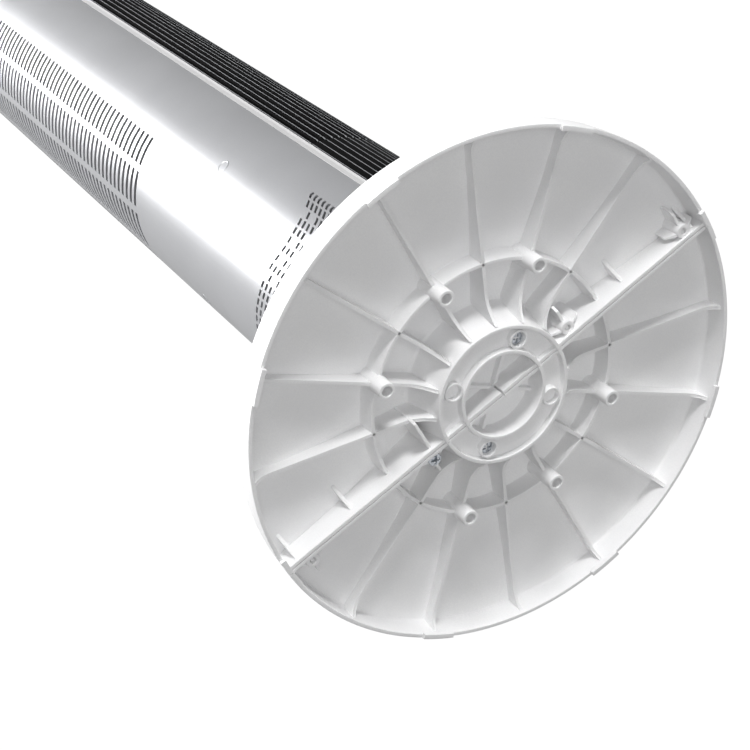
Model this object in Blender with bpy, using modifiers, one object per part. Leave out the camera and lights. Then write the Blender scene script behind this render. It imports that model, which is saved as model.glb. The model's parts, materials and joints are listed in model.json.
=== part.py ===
"""Tower fan: a round two-piece base, a tower that swivels on it, a cross-flow impeller and the drives.

Metres, +Z up. The origin is the centre of the plane that the base stands on. The grille faces -Y, and
angles round the tower are counted from the front, positive towards +X.
"""

import math

import bmesh
import bpy
import numpy as np
from mathutils import Matrix, Vector

MM = 0.001
GAP = 0.3 * MM

# Base
BASE_RADIUS = 150 * MM
RIM_TOP_RADIUS = 149 * MM
RIM_WALL = 2.3 * MM
FOOT_HEIGHT = 2 * MM
SKIN = 2.5 * MM
RIM_TOP = 19.5 * MM
HUB_TOP = 30 * MM
HUB_PLATEAU = 50 * MM
CROWN_EDGE = 146 * MM
LIP_HEIGHT = 0.6 * MM
SECOND_RING_RADIUS = 74.8 * MM
RIB_LOW = 10.3 * MM
RIB_THICKNESS = 1.8 * MM
RIB_STEP = 22.5
HUB_RADIUS = 39.5 * MM
HUB_FLARE = 5 * MM
INNER_RING_RADIUS = 25.2 * MM
RING_WALL = 1.9 * MM
BOSS_CIRCLE = 74 * MM
CUP_CIRCLE = 32 * MM
CUP_SEAT = 6.8 * MM
CLIP_RADII = (50.5 * MM, 135 * MM)
CLIP_ASIDE = 5.2 * MM
CLIP_LOW = 3.6 * MM

# Swivel stack, from the base up
SEAT_LOW = HUB_TOP + GAP
SEAT_HIGH = SEAT_LOW + 3 * MM
POST_RADIUS = 15 * MM
WASHER_LOW = SEAT_HIGH + GAP
WASHER_HIGH = WASHER_LOW + 1.2 * MM
COVER_LOW = WASHER_HIGH + GAP
FLOOR_LOW = COVER_LOW + 1.9 * MM
FLOOR_HIGH = FLOOR_LOW + 3 * MM
SLEEVE_TOP = 43.8 * MM
SHOULDER = SLEEVE_TOP + 0.4 * MM
GEAR_LOW = SHOULDER + GAP
GEAR_HIGH = GEAR_LOW + 6 * MM
KEY_RADIUS = 13 * MM
CLAMP_LOW = GEAR_HIGH + GAP
CLAMP_HIGH = CLAMP_LOW + 1.5 * MM
SWIVEL_MOTOR_LOW = CLAMP_HIGH + 4 * MM
CLAMP_PLACE = 45 * MM

# Swivel gears
MODULE = 1.5 * MM
PRESSURE = math.radians(25)
FIXED_TEETH = 36
PINION_TEETH = 12
BACKLASH = 0.3 * MM
GEAR_CENTRES = MODULE * (FIXED_TEETH + PINION_TEETH) / 2 + 0.1 * MM

# Tower casing
REAR_RADIUS = 71 * MM
FRONT_RADIUS = 65 * MM
FRONT_OFFSET = 16.1 * MM
WALL = 2.5 * MM
INSIDE_RADIUS = REAR_RADIUS - WALL - GAP
TRIM_START = 61.9
TRIM_END = 67.5
SHELL_LOW = FLOOR_HIGH + GAP
SHELL_HIGH = 905 * MM
FRAME_BAND = 12 * MM
PANEL_JOINT = 235 * MM
TOP_LOW = SHELL_HIGH + GAP
TOP_HIGH = 958.5 * MM
INTAKE_LOW = 362 * MM
INTAKE_HIGH = 842 * MM
INTAKE_BANDS = ((110.3, 126.4), (130.9, 150.2), (155.2, 177.7))
INTAKE_ROWS = 3
SHELL_SCREW_ANGLES = (-100.7, 100.7, 180)
SHELL_SCREW_HEIGHTS = (268 * MM, 863 * MM)

# Impeller, motor and duct
IMPELLER_BACK = 12 * MM
IMPELLER_RADIUS = 42 * MM
IMPELLER_LOW = 285 * MM
IMPELLER_HIGH = 850 * MM
BLADES = 10
SHAFT_RADIUS = 3 * MM
LOWER_WEB = 262 * MM
UPPER_WEB = 866 * MM
WEB = 3 * MM
MOTOR_LOW = 178 * MM
MOTOR_HIGH = 229 * MM

# Controls
PANEL_RADIUS = 52 * MM
PANEL_LOW = TOP_HIGH - 2 * MM
BUTTON_RADIUS = 6.5 * MM
BUTTON_CIRCLE = 34 * MM
BUTTON_TOP = 960 * MM
CEILING = TOP_HIGH - 6.5 * MM
BOARD_TOP = 945.5 * MM

PARTS = bpy.data.collections.new("tower_fan")
CUTTERS = bpy.data.collections.new("cutters")


def clear_scene():
    """Empties the scene and makes the two collections."""
    for obj in list(bpy.data.objects):
        bpy.data.objects.remove(obj, do_unlink=True)
    bpy.context.scene.collection.children.link(PARTS)
    bpy.context.scene.collection.children.link(CUTTERS)


def finish(name, colour, roughness, metallic=0.0):
    """A Principled material of one colour."""
    material = bpy.data.materials.new(name)
    material.use_nodes = True
    shader = material.node_tree.nodes["Principled BSDF"]
    shader.inputs["Base Color"].default_value = (*colour, 1)
    shader.inputs["Roughness"].default_value = roughness
    shader.inputs["Metallic"].default_value = metallic
    return material


WHITE = finish("white_abs", (0.78, 0.78, 0.77), 0.45)
SILVER_WHITE = finish("satin_white_abs", (0.72, 0.73, 0.74), 0.32)
BLACK = finish("black_abs", (0.012, 0.012, 0.013), 0.35)
GLOSS_BLACK = finish("gloss_black_acrylic", (0.008, 0.008, 0.009), 0.08)
GREY = finish("grey_polypropylene", (0.25, 0.25, 0.26), 0.5)
STEEL = finish("zinc_plated_steel", (0.6, 0.6, 0.6), 0.3, 1.0)
BRONZE = finish("sintered_bronze", (0.45, 0.3, 0.14), 0.5, 1.0)
RUBBER = finish("black_rubber", (0.02, 0.02, 0.02), 0.8)
BOARD_GREEN = finish("green_laminate", (0.03, 0.16, 0.06), 0.5)
ACETAL = finish("natural_acetal", (0.7, 0.69, 0.63), 0.4)


def add_object(name, data, material=None, at=(0, 0, 0), turn=(0, 0, 0)):
    """Links a piece of the fan, or a hidden helper where no material is given."""
    obj = bpy.data.objects.new(name, data)
    obj.location = at
    obj.rotation_euler = turn
    if material is None:
        CUTTERS.objects.link(obj)
        obj.hide_render = True
        obj.display_type = "WIRE"
    else:
        PARTS.objects.link(obj)
        data.materials.append(material)
    return obj


def box(name, low, high, material=None, at=(0, 0, 0), turn=(0, 0, 0)):
    """A box from one corner to the other, about the object's origin."""
    low, high = Vector(low), Vector(high)
    bm = bmesh.new()
    matrix = Matrix.Translation((low + high) / 2) @ Matrix.Diagonal((*(high - low), 1))
    bmesh.ops.create_cube(bm, size=1, matrix=matrix)
    mesh = bpy.data.meshes.new(name)
    bm.to_mesh(mesh)
    bm.free()
    return add_object(name, mesh, material, at, turn)


def cylinder(name, radius, low, high, material=None, at=(0, 0, 0), turn=(0, 0, 0), sides=16, top=None):
    """A cylinder or a cone along Z, from low to high, about the object's origin."""
    bm = bmesh.new()
    bmesh.ops.create_cone(
        bm,
        cap_ends=True,
        segments=sides,
        radius1=radius,
        radius2=radius if top is None else top,
        depth=high - low,
        matrix=Matrix.Translation((0, 0, (low + high) / 2)),
    )
    mesh = bpy.data.meshes.new(name)
    bm.to_mesh(mesh)
    bm.free()
    return add_object(name, mesh, material, at, turn)


def turned(name, profile, material=None, at=(0, 0, 0), sides=24, closed=True):
    """A profile of (radius, height) points, outer side top to bottom, turned about Z."""
    mesh = bpy.data.meshes.new(name)
    count = len(profile)
    edges = [(i, (i + 1) % count) for i in range(count if closed else count - 1)]
    mesh.from_pydata([(radius, 0, height) for radius, height in profile], edges, [])
    obj = add_object(name, mesh, material, at)
    screw = obj.modifiers.new("turn", "SCREW")
    screw.steps = sides
    screw.render_steps = sides
    screw.use_merge_vertices = True
    screw.merge_threshold = 0.00001
    return obj


def ring(name, inner, outer, low, high, material=None, at=(0, 0, 0), sides=24):
    """A flat ring or a tube."""
    profile = [(inner, high), (outer, high), (outer, low), (inner, low)]
    return turned(name, profile, material, at, sides)


def flat(name, outlines, low, high, material=None, at=(0, 0, 0), turn=(0, 0, 0)):
    """A flat piece with the given outlines, the first outside and any others holes, from low to high."""
    curve = bpy.data.curves.new(name, "CURVE")
    curve.dimensions = "2D"
    curve.fill_mode = "BOTH"
    curve.extrude = (high - low) / 2
    for outline in outlines:
        spline = curve.splines.new("POLY")
        spline.points.add(len(outline) - 1)
        for point, (x, y) in zip(spline.points, outline):
            point.co = (x, y, 0, 1)
        spline.use_cyclic_u = True
    guide = bpy.data.objects.new(name + "_outline", curve)
    bpy.context.scene.collection.objects.link(guide)
    bpy.context.view_layer.update()
    mesh = bpy.data.meshes.new_from_object(guide.evaluated_get(bpy.context.evaluated_depsgraph_get()))
    bpy.data.objects.remove(guide)
    bm = bmesh.new()
    bm.from_mesh(mesh)
    bmesh.ops.remove_doubles(bm, verts=bm.verts, dist=0.000001)
    bmesh.ops.translate(bm, verts=bm.verts, vec=(0, 0, (low + high) / 2))
    bmesh.ops.recalc_face_normals(bm, faces=bm.faces)
    bm.to_mesh(mesh)
    bm.free()
    mesh.name = name
    return add_object(name, mesh, material, at, turn)


def boolean(target, operation, helpers):
    """Joins helpers to a piece or cuts them from it, in one step for a list of them, and applies it."""
    group = bpy.data.collections.new(f"{target.name}_{operation.lower()}")
    CUTTERS.children.link(group)
    for helper in helpers:
        CUTTERS.objects.unlink(helper)
        group.objects.link(helper)
    modifier = target.modifiers.new(operation.lower(), "BOOLEAN")
    modifier.operation = operation
    modifier.solver = "EXACT"
    modifier.operand_type = "COLLECTION"
    modifier.collection = group
    apply_modifiers(target)


def evaluated_mesh(obj):
    """The mesh of an object with its modifiers applied."""
    bpy.context.view_layer.update()
    return bpy.data.meshes.new_from_object(obj.evaluated_get(bpy.context.evaluated_depsgraph_get()))


def apply_modifiers(obj):
    """Replaces an object's mesh by the one its modifiers make."""
    mesh = evaluated_mesh(obj)
    obj.modifiers.clear()
    obj.data = mesh
    mesh.name = obj.name


def settle(obj):
    """Applies what modifiers are left, and shades the piece smooth between its sharp edges."""
    if obj.modifiers:
        apply_modifiers(obj)
    obj.data.shade_smooth()
    obj.data.set_sharp_from_angle(angle=math.radians(35))


def polar(radius, angle, centre=(0, 0)):
    """The point at an angle in degrees from the front, positive towards +X."""
    turn = math.radians(angle)
    return (centre[0] + radius * math.sin(turn), centre[1] - radius * math.cos(turn))


def arc(radius, start, end, count, centre=(0, 0)):
    """Points along an arc, both ends included."""
    return [polar(radius, angle, centre) for angle in np.linspace(start, end, count)]


def band(inner, outer, start, end, count, centre=(0, 0)):
    """The outline of a curved strip between two radii."""
    return arc(outer, start, end, count, centre) + arc(inner, end, start, count, centre)


def body_outline(inset=0.0, rear_count=21, front_count=13):
    """The tower's section: the round rear casing and the fuller front, where their circles meet."""
    rear, front = REAR_RADIUS - inset, FRONT_RADIUS - inset
    cosine = (rear**2 + FRONT_OFFSET**2 - front**2) / (2 * rear * FRONT_OFFSET)
    meet = math.degrees(math.acos(cosine))
    x, y = polar(rear, meet)
    front_meet = math.degrees(math.atan2(x, -y - FRONT_OFFSET))
    back = arc(rear, meet, 360 - meet, rear_count)
    return back + arc(front, -front_meet, front_meet, front_count, (0, -FRONT_OFFSET))[1:-1]


def crown(radius):
    """The height of the base's top face at a radius: a plateau, then a falling parabola."""
    span = min(max((radius - HUB_PLATEAU) / (CROWN_EDGE - HUB_PLATEAU), 0), 1)
    return RIM_TOP + (HUB_TOP - RIM_TOP) * (1 - span) ** 2


def wall_down(radius, half_wall, low, flare=0.0):
    """Profile points for a ring wall that hangs from the underside, walked inwards."""
    outer, inner = radius + half_wall, radius - half_wall
    top = crown(outer) - SKIN
    return [(outer + flare, top), (outer, low), (inner, low), (inner + flare, crown(inner) - SKIN)]


def base_profile():
    """The base's section: crown, rounded shoulder, rim wall, underside with its three rings."""
    top = [(radius, crown(radius)) for radius in np.linspace(HUB_PLATEAU, CROWN_EDGE, 5)]
    shoulder = [(RIM_TOP_RADIUS - 0.8 * MM, RIM_TOP - 0.9 * MM), (RIM_TOP_RADIUS, RIM_TOP - 2.4 * MM)]
    lip = [(BASE_RADIUS, FOOT_HEIGHT + 1 * MM), (BASE_RADIUS - 0.5 * MM, FOOT_HEIGHT)]
    inner_wall = BASE_RADIUS - RIM_WALL
    inside = [(inner_wall, FOOT_HEIGHT), (inner_wall - 0.8 * MM, RIM_TOP - SKIN - 1.5 * MM)]
    floor = [(radius, crown(radius) - SKIN) for radius in np.linspace(CROWN_EDGE, 84 * MM, 3)]
    rings = wall_down(SECOND_RING_RADIUS, RING_WALL / 2, RIB_LOW)
    rings += wall_down(HUB_RADIUS, RING_WALL / 2, LIP_HEIGHT, HUB_FLARE)
    rings += wall_down(INNER_RING_RADIUS, RING_WALL / 2, LIP_HEIGHT)
    return [(0, HUB_TOP)] + top + shoulder + lip + inside + floor + rings + [(0, HUB_TOP - SKIN)]


def skin_middle(start, end, count=3):
    """Points along the middle of the base's skin, which a rib's top edge runs in."""
    return [(radius, crown(radius) - SKIN / 2) for radius in np.linspace(start, end, count)]


def rib_outline():
    """A rib from the hub to the rim: flared up to the rim, level, then swept down to the hub's lip."""
    rim = BASE_RADIUS - RIM_WALL / 2
    foot = [(rim, FOOT_HEIGHT + 3 * MM), (rim - 2 * MM, FOOT_HEIGHT + 3 * MM), (rim - 11 * MM, RIB_LOW)]
    start, end, drop = HUB_RADIUS + 2 * MM, 58 * MM, RIB_LOW - 2 * MM
    sweep = [
        (end + (start - end) * t, RIB_LOW - drop * t**2.2) for t in np.linspace(0, 1, 3)
    ]
    return skin_middle(HUB_RADIUS, rim) + foot + sweep + [(HUB_RADIUS, 2 * MM)]


def upright(name, outline, thickness, angle):
    """A plate that stands on edge along a radius; its outline is (radius, height)."""
    turn = (math.pi / 2, 0, math.radians(angle - 90))
    return flat(name, [outline], -thickness / 2, thickness / 2, turn=turn)


def gusset(name, radius, side, angle):
    """A triangular plate that props the seam wall."""
    floor = crown(radius) - SKIN / 2
    outline = [(0, floor), (0, floor - 14 * MM), (13 * MM * side, floor)]
    at = (*polar(radius, angle), 0)
    return flat(name, [outline], -1 * MM, 1 * MM, at=at, turn=(math.pi / 2, 0, 0))


def base_additions():
    """What the turned base gains: ribs, seam wall, foot lands, bosses, cups, hub cross and clip bosses."""
    pieces = []
    for index in range(16):
        angle = index * RIB_STEP
        if index % 8:
            pieces.append(upright(f"rib_{index}", rib_outline(), RIB_THICKNESS, angle))
        if index % 2 == 0:
            land = band(BASE_RADIUS - RIM_WALL - 0.7 * MM, BASE_RADIUS - 0.3 * MM, angle - 3.8, angle + 3.8, 2)
            pieces.append(flat(f"foot_land_{index}", [land], 0, FOOT_HEIGHT + 1 * MM))
        if index % 2 == 0 and index % 8:
            at = (*polar(BOSS_CIRCLE, angle), 0)
            top = crown(BOSS_CIRCLE) - SKIN / 2
            pieces.append(cylinder(f"boss_{index}", 4.4 * MM, LIP_HEIGHT, top, at=at, sides=8, top=4.9 * MM))
    for index in range(4):
        angle = 45 + index * 90
        at = (*polar(CUP_CIRCLE, angle), 0)
        pieces.append(cylinder(f"cup_{index}", 4.8 * MM, 1.2 * MM, HUB_TOP - SKIN / 2, at=at, sides=8))
    reach = INNER_RING_RADIUS
    for angle in (45, 135):
        cross = [(-reach, 11 * MM), (reach, 11 * MM), (reach, HUB_TOP - 1 * MM), (-reach, HUB_TOP - 1 * MM)]
        pieces.append(upright(f"hub_cross_{angle}", cross, RIB_THICKNESS, angle))
    rim = BASE_RADIUS - RIM_WALL / 2
    low = 1.5 * MM
    seam = [(0, HUB_TOP - SKIN / 2)] + skin_middle(HUB_PLATEAU, rim) + [(rim, FOOT_HEIGHT + 0.5 * MM), (0, low)]
    for angle in (0, 180):
        pieces.append(upright(f"seam_wall_{angle}", seam, 4.3 * MM, angle))
        side = -1 if angle == 0 else 1
        for radius in (92 * MM, 141 * MM):
            pieces.append(gusset(f"gusset_{angle}_{radius / MM:.0f}", radius, side, angle))
        for radius in CLIP_RADII:
            x, y = polar(radius, angle)
            x += CLIP_ASIDE * side
            top = crown(radius) - SKIN / 2
            name = f"clip_{angle}_{radius / MM:.0f}"
            pieces.append(cylinder(name, 4.2 * MM, CLIP_LOW, top, at=(x, y, 0), sides=8))
            wing = [(-9 * MM, 9 * MM), (0, CLIP_LOW + 1 * MM), (9 * MM, 9 * MM), (9 * MM, top), (-9 * MM, top)]
            pieces.append(flat(name + "_wing", [wing], -0.8 * MM, 0.8 * MM, at=(x, y, 0), turn=(math.pi / 2, 0, math.pi / 2)))
    guard = [(-22 * MM, 4 * MM), (-1 * MM, 4 * MM), (-1 * MM, HUB_TOP - 2 * MM), (-22 * MM, HUB_TOP - 2 * MM)]
    pieces.append(flat("cord_guard", [guard], -0.8 * MM, 0.8 * MM, at=(0, 49 * MM, 0), turn=(math.pi / 2, 0, 0)))
    return pieces


def base_cuts():
    """What the base loses: boss bores, cup bores, screw holes, the cord opening and a keyhole in the hub."""
    pieces = []
    for index in range(2, 16, 2):
        if index % 8:
            at = (*polar(BOSS_CIRCLE, index * RIB_STEP), 0)
            pieces.append(cylinder(f"boss_bore_{index}", 2.9 * MM, -1 * MM, 19 * MM, at=at, sides=8))
    for index in range(4):
        angle = 45 + index * 90
        at = (*polar(CUP_CIRCLE, angle), 0)
        depth = CUP_SEAT if index % 2 else HUB_TOP - 5 * MM
        pieces.append(cylinder(f"cup_bore_{index}", 3.5 * MM, -1 * MM, depth, at=at, sides=8))
        if index % 2:
            pieces.append(cylinder(f"cup_hole_{index}", 1.8 * MM, 0, HUB_TOP + 1 * MM, at=at, sides=8))
    for angle in (0, 180):
        side = -1 if angle == 0 else 1
        for radius in CLIP_RADII:
            x, y = polar(radius, angle)
            at = (x + CLIP_ASIDE * side, y, 0)
            pieces.append(cylinder(f"clip_hole_{angle}_{radius / MM:.0f}", 1.8 * MM, -1 * MM, 14 * MM, at=at, sides=8))
    pieces.append(box("cord_opening", (-19 * MM, 40.3 * MM, 8 * MM), (-4 * MM, 47.8 * MM, HUB_TOP + 2 * MM)))
    pieces.append(box("hub_keyhole", (-40 * MM, -3 * MM, -1 * MM), (-31 * MM, 3 * MM, 5 * MM)))
    return pieces


def build_base():
    """The two base halves: one turned form with all its additions and cuts, trimmed either side of the seam."""
    whole = turned("base_whole", base_profile(), sides=32, closed=False)
    boolean(whole, "UNION", base_additions())
    boolean(whole, "DIFFERENCE", base_cuts())
    reach = 200 * MM
    for name, side in (("base_half_left", -1), ("base_half_right", 1)):
        half = add_object(name, whole.data.copy(), WHITE)
        near, far = -side * reach, side * GAP / 2
        low = (min(near, far), -reach, -reach)
        high = (max(near, far), reach, reach)
        boolean(half, "DIFFERENCE", [box(name + "_other_side", low, high)])


def screw_mesh(name, head_radius, head_height, shank_radius, length):
    """A pan-head screw with a cross recess: its head's seat is at height 0, and its shank hangs below."""
    profile = [(0, head_height), (head_radius, head_height), (head_radius, 0)]
    profile += [(shank_radius, 0), (shank_radius, -length), (0, -length)]
    blank = turned(name, profile, sides=8, closed=False)
    arm, slot, depth = head_radius * 0.6, head_radius * 0.14, head_height * 0.55
    cross = []
    for index, (x, y) in enumerate(((arm, slot), (slot, arm))):
        low, high = (-x, -y, head_height - depth), (x, y, head_height + depth)
        cross.append(box(f"{name}_cross_{index}", low, high))
    boolean(blank, "DIFFERENCE", cross)
    mesh = evaluated_mesh(blank)
    mesh.name = name
    mesh.materials.clear()
    mesh.materials.append(STEEL)
    return mesh


def put_screw(name, mesh, at, turn=(0, 0, 0)):
    """A screw of the fan, which shares its mesh with the others of its size."""
    obj = bpy.data.objects.new(name, mesh)
    obj.location = at
    obj.rotation_euler = turn
    PARTS.objects.link(obj)
    return obj


def build_base_screws():
    """The two screws up through the hub, and the one that ties the halves behind it."""
    long_screw = screw_mesh("hub_screw_mesh", 3 * MM, 2.2 * MM, 1.5 * MM, 25.8 * MM)
    for number, angle in enumerate((135, -45), 1):
        x, y = polar(CUP_CIRCLE, angle)
        put_screw(f"hub_screw_{number}", long_screw, (x, y, CUP_SEAT - GAP), (math.pi, 0, 0.4 * number))
    short_screw = screw_mesh("seam_screw_mesh", 3 * MM, 2 * MM, 1.5 * MM, 10 * MM)
    x, y = polar(CLIP_RADII[0], 180)
    put_screw("seam_screw", short_screw, (x + CLIP_ASIDE, y, CLIP_LOW - GAP), (math.pi, 0, 0.5))


def tooth_half_angle(radius, teeth):
    """Half the angle that an involute tooth fills at a radius, thinned by the backlash."""
    pitch = MODULE * teeth / 2
    base = pitch * math.cos(PRESSURE)
    at_radius = math.acos(min(base / radius, 1))
    involute = math.tan(PRESSURE) - PRESSURE - (math.tan(at_radius) - at_radius)
    return math.pi / (2 * teeth) - BACKLASH / (2 * pitch) + involute


def gear_outline(teeth, first_angle, toothed=None):
    """A gear's outline with one tooth's middle at first_angle degrees; only the first `toothed` are cut."""
    pitch = MODULE * teeth / 2
    tip, root = pitch + MODULE, pitch - 1.3 * MODULE
    flank_start = max(pitch * math.cos(PRESSURE), root)
    flank = np.linspace(flank_start, tip, 3)
    points = []
    for index in range(teeth):
        middle = math.radians(first_angle) + index * math.tau / teeth
        if toothed is not None and toothed <= index:
            points.append((root, middle))
            continue
        halves = [tooth_half_angle(radius, teeth) for radius in flank]
        points.append((root, middle - halves[0] - 0.02))
        points += [(radius, middle - half) for radius, half in zip(flank, halves)]
        points += [(radius, middle + half) for radius, half in zip(flank[::-1], halves[::-1])]
        points.append((root, middle + halves[0] + 0.02))
    return [(radius * math.sin(angle), -radius * math.cos(angle)) for radius, angle in points]


def build_swivel():
    """The fixed half of the swivel: seat and post, washer, gear, clamp washer and pivot screw."""
    rim = 38 * MM
    profile = [(0, GEAR_HIGH - GAP), (KEY_RADIUS * 0.75, GEAR_HIGH - GAP), (KEY_RADIUS * 0.75, SHOULDER)]
    profile += [(POST_RADIUS, SHOULDER), (POST_RADIUS, SEAT_HIGH), (rim, SEAT_HIGH), (rim, SEAT_LOW), (0, SEAT_LOW)]
    seat = turned("swivel_seat", profile, GREY, closed=False)
    key = cylinder("seat_key", KEY_RADIUS, SHOULDER - 2 * MM, GEAR_HIGH - GAP, sides=6)
    boolean(seat, "UNION", [key])
    cuts = [cylinder("pivot_hole", 2.2 * MM, SHOULDER - 12 * MM, GEAR_HIGH + 2 * MM, sides=12)]
    for angle in (135, -45):
        at = (*polar(CUP_CIRCLE, angle), 0)
        cuts.append(cylinder(f"seat_hole_{angle}", 1.8 * MM, SEAT_LOW - 1 * MM, SEAT_HIGH + 1 * MM, at=at, sides=12))
    boolean(seat, "DIFFERENCE", cuts)
    ring("thrust_washer", POST_RADIUS + 5 * MM, 31 * MM, WASHER_LOW, WASHER_HIGH, ACETAL)
    toothed = 14
    first = -(toothed - 1) / 2 * 360 / FIXED_TEETH
    first = round(first / (360 / FIXED_TEETH)) * 360 / FIXED_TEETH
    hexagon = [polar(KEY_RADIUS + 0.35 * MM, 60 * index) for index in range(6)]
    flat("fixed_gear", [gear_outline(FIXED_TEETH, first, toothed + 1), hexagon], GEAR_LOW, GEAR_HIGH, ACETAL)
    ring("clamp_washer", 2.3 * MM, 17 * MM, CLAMP_LOW, CLAMP_HIGH, STEEL, sides=24)
    pivot = screw_mesh("pivot_screw_mesh", 4 * MM, 2.4 * MM, 1.9 * MM, 18 * MM)
    put_screw("pivot_screw", pivot, (0, 0, CLAMP_HIGH + GAP))


def build_bottom_cover():
    """The tower's floor: plate, spigot, sleeve on the post, motor posts, board rails and cord slot."""
    hole = arc(17 * MM, 0, 345, 24)
    cover = flat("bottom_cover", [body_outline(), hole], FLOOR_LOW, FLOOR_HIGH, WHITE)
    sleeve = [(POST_RADIUS + 0.35 * MM, SLEEVE_TOP), (19 * MM, SLEEVE_TOP), (19 * MM, FLOOR_HIGH - 1 * MM)]
    sleeve += [(31 * MM, FLOOR_HIGH - 1 * MM), (31 * MM, COVER_LOW), (POST_RADIUS + 0.35 * MM, COVER_LOW)]
    additions = [turned("cover_sleeve", sleeve)]
    spigot = INSIDE_RADIUS
    additions.append(ring("cover_spigot", spigot - 2.4 * MM, spigot, FLOOR_HIGH - 1 * MM, FLOOR_HIGH + 8 * MM))
    for side in (-1, 1):
        at = (22.5 * MM * side, -GEAR_CENTRES - 6 * MM, 0)
        additions.append(cylinder(f"motor_post_{side}", 4 * MM, FLOOR_LOW + 1 * MM, SWIVEL_MOTOR_LOW - GAP, at=at, sides=8))
        rail = box(f"board_rail_{side}", (-3 * MM, -3 * MM, FLOOR_LOW + 1 * MM), (3 * MM, 3 * MM, 60 * MM))
        rail.location = (28 * MM * side, 30.8 * MM, 0)
        additions.append(rail)
        at = (CLAMP_PLACE + 8 * MM * side, 2 * MM, 0)
        additions.append(cylinder(f"clamp_post_{side}", 3.4 * MM, FLOOR_LOW + 1 * MM, 45 * MM, at=at, sides=8))
    boolean(cover, "UNION", additions)
    slot = flat("cord_slot", [band(40 * MM, 48 * MM, 158, 232, 5)], FLOOR_LOW - 5 * MM, FLOOR_HIGH + 5 * MM)
    cuts = [slot]
    for side in (-1, 1):
        at = (22.5 * MM * side, -GEAR_CENTRES - 6 * MM, 0)
        cuts.append(cylinder(f"motor_post_hole_{side}", 1.5 * MM, 44 * MM, SWIVEL_MOTOR_LOW + 1 * MM, at=at, sides=8))
        at = (CLAMP_PLACE + 8 * MM * side, 2 * MM, 0)
        cuts.append(cylinder(f"clamp_post_hole_{side}", 1.5 * MM, FLOOR_LOW + 1.5 * MM, 46 * MM, at=at, sides=8))
    boolean(cover, "DIFFERENCE", cuts)
    return cover


def build_casing():
    """Rear shell, front frame, grille and lower front panel."""
    outline = band(REAR_RADIUS - WALL, REAR_RADIUS, TRIM_END + 0.25, 360 - TRIM_END - 0.25, 25)
    shell = flat("rear_shell", [outline], SHELL_LOW, SHELL_HIGH, SILVER_WHITE)
    cuts = []
    pitch = (INTAKE_HIGH - INTAKE_LOW) / INTAKE_ROWS
    for side in (-1, 1):
        for number, (start, end) in enumerate(INTAKE_BANDS):
            wedge = band(REAR_RADIUS - 2 * WALL, REAR_RADIUS + WALL, start * side, end * side, 2)
            for row in range(INTAKE_ROWS):
                low = INTAKE_LOW + row * pitch
                cuts.append(flat(f"intake_{side}_{number}_{row}", [wedge], low, low + pitch - 6 * MM))
    for height in SHELL_SCREW_HEIGHTS:
        for angle in SHELL_SCREW_ANGLES:
            name = f"shell_screw_hole_{height / MM:.0f}_{angle}"
            cuts.append(radial_cylinder(name, 4.2 * MM, REAR_RADIUS - 2 * WALL, REAR_RADIUS + WALL, angle, height))
    boolean(shell, "DIFFERENCE", cuts)
    centre = (0, -FRONT_OFFSET)
    strip = band(REAR_RADIUS - WALL, REAR_RADIUS + 0.2 * MM, TRIM_START, TRIM_END, 3)
    frame = flat("front_frame", [strip], SHELL_LOW, SHELL_HIGH, WHITE)
    mirrored = [(-x, y) for x, y in reversed(strip)]
    bridge = band(FRONT_RADIUS - 2.2 * MM, FRONT_RADIUS, -76, 76, 15, centre)
    additions = [flat("frame_other_strip", [mirrored], SHELL_LOW, SHELL_HIGH)]
    additions.append(flat("frame_bottom", [bridge], SHELL_LOW, SHELL_LOW + FRAME_BAND))
    additions.append(flat("frame_top", [bridge], SHELL_HIGH - FRAME_BAND, SHELL_HIGH))
    boolean(frame, "UNION", additions)
    section = band(FRONT_RADIUS - 2.2 * MM, FRONT_RADIUS, -73.4, 73.4, 15, centre)
    grille_top = SHELL_HIGH - FRAME_BAND - GAP
    flat("lower_front_panel", [section], SHELL_LOW + FRAME_BAND + GAP, PANEL_JOINT, BLACK)
    grille = flat("front_grille", [section], PANEL_JOINT + GAP, grille_top, BLACK)
    slots, rows, margin = 9, 2, 12 * MM
    pitch = (grille_top - PANEL_JOINT - margin) / rows
    step = 132 / slots
    openings = []
    for row in range(rows):
        low = PANEL_JOINT + margin + row * pitch
        for index in range(slots):
            start = -66 + index * step
            wedge = band(FRONT_RADIUS - 5 * MM, FRONT_RADIUS + 3 * MM, start + 1.5, start + step - 1.5, 2, centre)
            openings.append(flat(f"grille_slot_{row}_{index}", [wedge], low, low + pitch - margin))
    boolean(grille, "DIFFERENCE", openings)


def radial_cylinder(name, radius, start, end, angle, height, material=None, sides=12):
    """A cylinder that points outwards from the tower's axis at an angle and a height."""
    x, y = polar(1, angle)
    turn = Vector((x, y, 0)).to_track_quat("Z", "Y").to_euler()
    return cylinder(name, radius, start, end, material, at=(0, 0, height), turn=turn, sides=sides)


def build_shell_screws():
    """Six screws through the shell into the rims of the two duct plates."""
    mesh = screw_mesh("shell_screw_mesh", 3.2 * MM, 1.8 * MM, 1.4 * MM, 9 * MM)
    number = 0
    for height in SHELL_SCREW_HEIGHTS:
        for angle in SHELL_SCREW_ANGLES:
            number += 1
            x, y = polar(INSIDE_RADIUS + GAP, angle)
            turn = Vector((x, y, 0)).to_track_quat("Z", "Y").to_euler()
            put_screw(f"shell_screw_{number}", mesh, (x, y, height), turn)


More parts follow.
